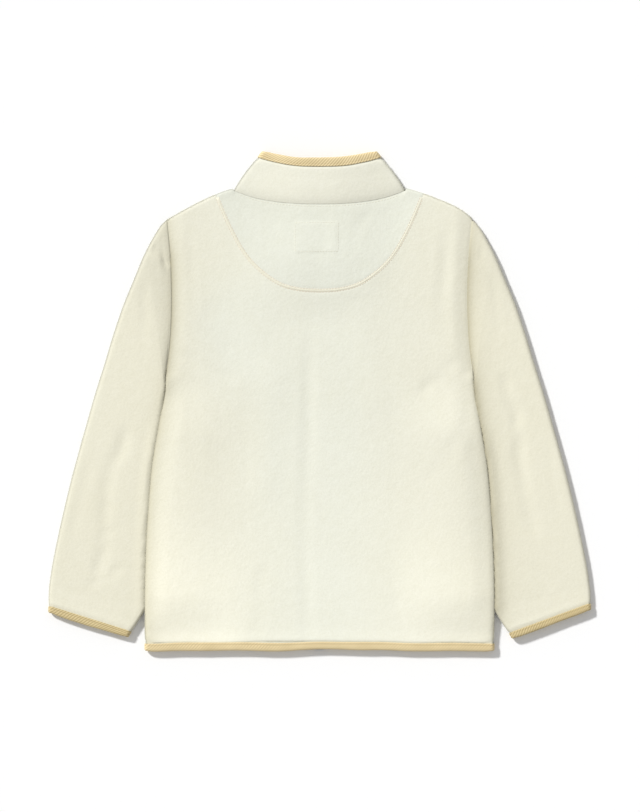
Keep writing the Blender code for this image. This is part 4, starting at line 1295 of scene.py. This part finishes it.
def dropLine(tree, plan, below=False):
    row = []
    down = Vector((0, 0, 1 if below else -1))
    for across, up in plan:
        start = spot(across, up, -20 if below else 40)
        hit, normal, face, distance = tree.ray_cast(start, down)
        if hit is None:
            continue
        if normal.dot(down) > 0:
            normal = -normal
        row.append((hit, normal))
    heights = [p.z for p, n in row]
    for i, (p, n) in enumerate(row):        # the thread bridges the nap
        around = heights[max(0, i - 2):i + 3]
        p.z = sum(around) / len(around)
    return row


def offsetPath(path, aside):
    moved = []
    for i, (x, y) in enumerate(path):
        x0, y0 = path[max(0, i - 1)]
        x1, y1 = path[min(len(path) - 1, i + 1)]
        long = math.hypot(x1 - x0, y1 - y0)
        moved.append((x - (y1 - y0) / long * aside, y + (x1 - x0) / long * aside))
    return moved


halfMoonSeam = {"aside": 1.6, "ridgeHalf": 1.45, "ridgeHeight": 0.24,
                "tone": (0.99, 0.962, 0.915)}
moonPath = [(x, moonLine(x)) for x in steps(-102.2, 102.2, 1.2)]
rows = [dropLine(topCloth, offsetPath(moonPath, side * halfMoonSeam["aside"]))
        for side in (1, -1)]
twinStitches = sewRows("halfMoonStitches", rows, {"long": 2.6, "gap": 0.3, "thick": 0.22},
                       seamThread)


def makeRidge(name, path, halfWidth, rise, finish):
    # soft welt between the two rows of stitches
    line = dropLine(topCloth, path)
    left = dropLine(topCloth, offsetPath(path, halfWidth + 0.5))
    right = dropLine(topCloth, offsetPath(path, -halfWidth - 0.5))
    vertices = []
    profile = [(-1, -0.45), (-0.8, 0.1), (-0.4, 0.8), (0, 1), (0.4, 0.8), (0.8, 0.1),
               (1, -0.45), (0, -0.9)]
    for i, ((a, n), (b, n)) in enumerate(zip(left, right)):
        side = (a - b).normalized()
        base = (a + b) / 2
        up = side.cross((line[min(i + 1, len(line) - 1)][0]
                         - line[max(0, i - 1)][0])).normalized()
        if up.z < 0:
            up = -up
        for s, h in profile:
            lump = 1 + 0.25 * noise.noise(base * (1 / 0.003))
            vertices.append(base + side * (s * halfWidth * mm) + up * (h * rise * lump * mm))
    return addPiece(name, vertices, tubeFaces(0, len(line), len(profile)), finish,
                    shades=[halfMoonSeam["tone"]] * len(vertices))


halfMoonWelt = makeRidge("halfMoonWelt", moonPath, halfMoonSeam["ridgeHalf"],
                         halfMoonSeam["ridgeHeight"], moonFleece)

neckPath = [(x, backNeckLine(x) - 1.9) for x in steps(-80, 80, 1.5)]
neckStitches = sewRows("neckStitches", [dropLine(topCloth, neckPath)],
                       {"long": 2.2, "gap": 0.9, "thick": 0.22}, paleThread)


def boxSides(box):
    corners = [(box["left"], box["high"]), (box["right"], box["high"] + box["tilt"]),
               (box["right"], box["low"] + box["tilt"]), (box["left"], box["low"])]
    sides = []
    for (x0, y0), (x1, y1) in zip(corners, corners[1:] + corners[:1]):
        sides.append([(mix(x0, x1, i / 24), mix(y0, y1, i / 24)) for i in range(25)])
    return sides


labelStitches = sewRows("labelBoxStitches", [dropLine(topCloth, s) for s in boxSides(labelBox)],
                        {"long": 1.9, "gap": 0.8, "thick": 0.2}, paleThread)

frontCloth = treeOf(fronts["Left"], fronts["Right"], collarCloth)
zipRows = []
for side in (-1, 1):
    path = [(side * 8.6, up) for up in steps(12, 446, 2)]
    zipRows.append(dropLine(frontCloth, path, below=True))
sewRows("zipEdgeStitches", zipRows, {"long": 2.4, "gap": 0.8, "thick": 0.2}, paleThread)
print("seams sewn")

# zip: teeth are single mouldings, turned about from side to side
zipTeeth = {
    "pitch": 2.6, "low": 11.6, "high": 445, "level": 0.4, "square": 0.6, "sides": 8,
    # across, half width, half thickness: from the tape's edge to the head past the middle
    "rings": ((2.35, 0.42, 0.62), (2.1, 0.55, 0.9), (1.2, 0.46, 0.85), (0.3, 0.42, 0.8),
              (-0.35, 0.56, 0.82), (-0.8, 0.5, 0.62), (-0.95, 0.25, 0.3)),
}


def zipHeight(up):
    topUp = along(collarTop, collar["topHalf"]) - collar["dip"]
    return frontHeight(0, up) + bindingRise(topUp - up) + zipTeeth["level"]


def makeTeeth3d():
    vertices, faces = [], []
    count = int((zipTeeth["high"] - zipTeeth["low"]) / (zipTeeth["pitch"] / 2))
    for i in range(count):
        side = -1 if i % 2 else 1
        up = zipTeeth["low"] + i * zipTeeth["pitch"] / 2
        slope = (zipHeight(up + 1) - zipHeight(up - 1)) / 2
        run = Vector((0, 1, slope)).normalized()
        rise = Vector((1, 0, 0)).cross(run)
        centre = spot(0, up, zipHeight(up))
        start = len(vertices)
        for x, wide, thick in zipTeeth["rings"]:
            for j in range(zipTeeth["sides"]):
                angle = math.tau * (j + 0.5) / zipTeeth["sides"]
                c, s = [math.copysign(abs(v) ** zipTeeth["square"], v)
                        for v in (math.cos(angle), math.sin(angle))]
                vertices.append(centre + Vector((side * x * mm, 0, 0))
                                + run * (wide * c * mm) + rise * (thick * s * mm))
        faces += [f if side < 0 else f[::-1]
                  for f in tubeFaces(start, len(zipTeeth["rings"]), zipTeeth["sides"])]
    return addPiece("zipTeeth", vertices, faces, teethPlastic, "zip_chain")


makeTeeth3d()
for nodeName, finish in (("zip_tape_left", zipWeave), ("zip_tape_right", zipWeave),
                         ("zip_box", nickel), ("zip_slider", nickel), ("zip_pull_tab", nickel)):
    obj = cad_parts[nodeName]
    obj.data.materials.clear()
    obj.data.materials.append(finish)
print("zip dressed")

# loose fibres of the nap stand out where the cloth turns over
fringe = {"length": (0.7, 1.5), "width": 0.1, "root": 0.15, "lean": 0.75, "curl": 0.25,
          "turned": 0.82, "seed": 4}


def growFringe(name, piece, count, finish):
    draw = random.Random(fringe["seed"] + len(name))
    mesh = piece.data
    half = len(mesh.vertices) // 2              # outer skin comes first
    turnedFaces = [f for f in mesh.polygons if max(f.vertices) < half
                   and abs(f.normal.z) < fringe["turned"]]
    vertices, faces = [], []
    for i in range(count):
        face = draw.choice(turnedFaces)
        corners = [mesh.vertices[k].co for k in face.vertices]
        u, v = draw.random(), draw.random()
        root = corners[0].lerp(corners[1], u).lerp(corners[3].lerp(corners[2], u), v)
        root = root - face.normal * (fringe["root"] * mm)
        lean = Vector((draw.uniform(-1, 1), draw.uniform(-1, 1), draw.uniform(-1, 1)))
        way = (face.normal + lean * fringe["lean"]).normalized()
        side = way.orthogonal().normalized()
        other = way.cross(side)
        long = draw.uniform(*fringe["length"]) * mm
        tip = root + way * long + lean * (fringe["curl"] * long)
        if tip.z < 0.00005:
            continue
        start = len(vertices)
        for j in range(3):
            angle = math.tau * j / 3
            vertices.append(root + (side * math.cos(angle) + other * math.sin(angle))
                            * (fringe["width"] / 2 * mm))
        vertices.append(tip)
        faces += [(start, start + 1, start + 3), (start + 1, start + 2, start + 3),
                  (start + 2, start, start + 3), (start + 2, start + 1, start)]
    addPiece(name, vertices, faces, finish, shades=[(1, 1, 1)] * len(vertices))


for name, piece, count, finish, slotName in (
        ("backNap", backPanel, 9000, bodyFleece, "fleece"),
        ("collarNap", collarCloth, 2000, bodyFleece, "fleece"),
        ("sleeveNapLeft", sleeves["left"], 8000, sleeveFleece, "sleeve_fleece"),
        ("sleeveNapRight", sleeves["right"], 8000, sleeveFleece, "sleeve_fleece")):
    growFringe(name, piece, count, finish)
print("nap raised")
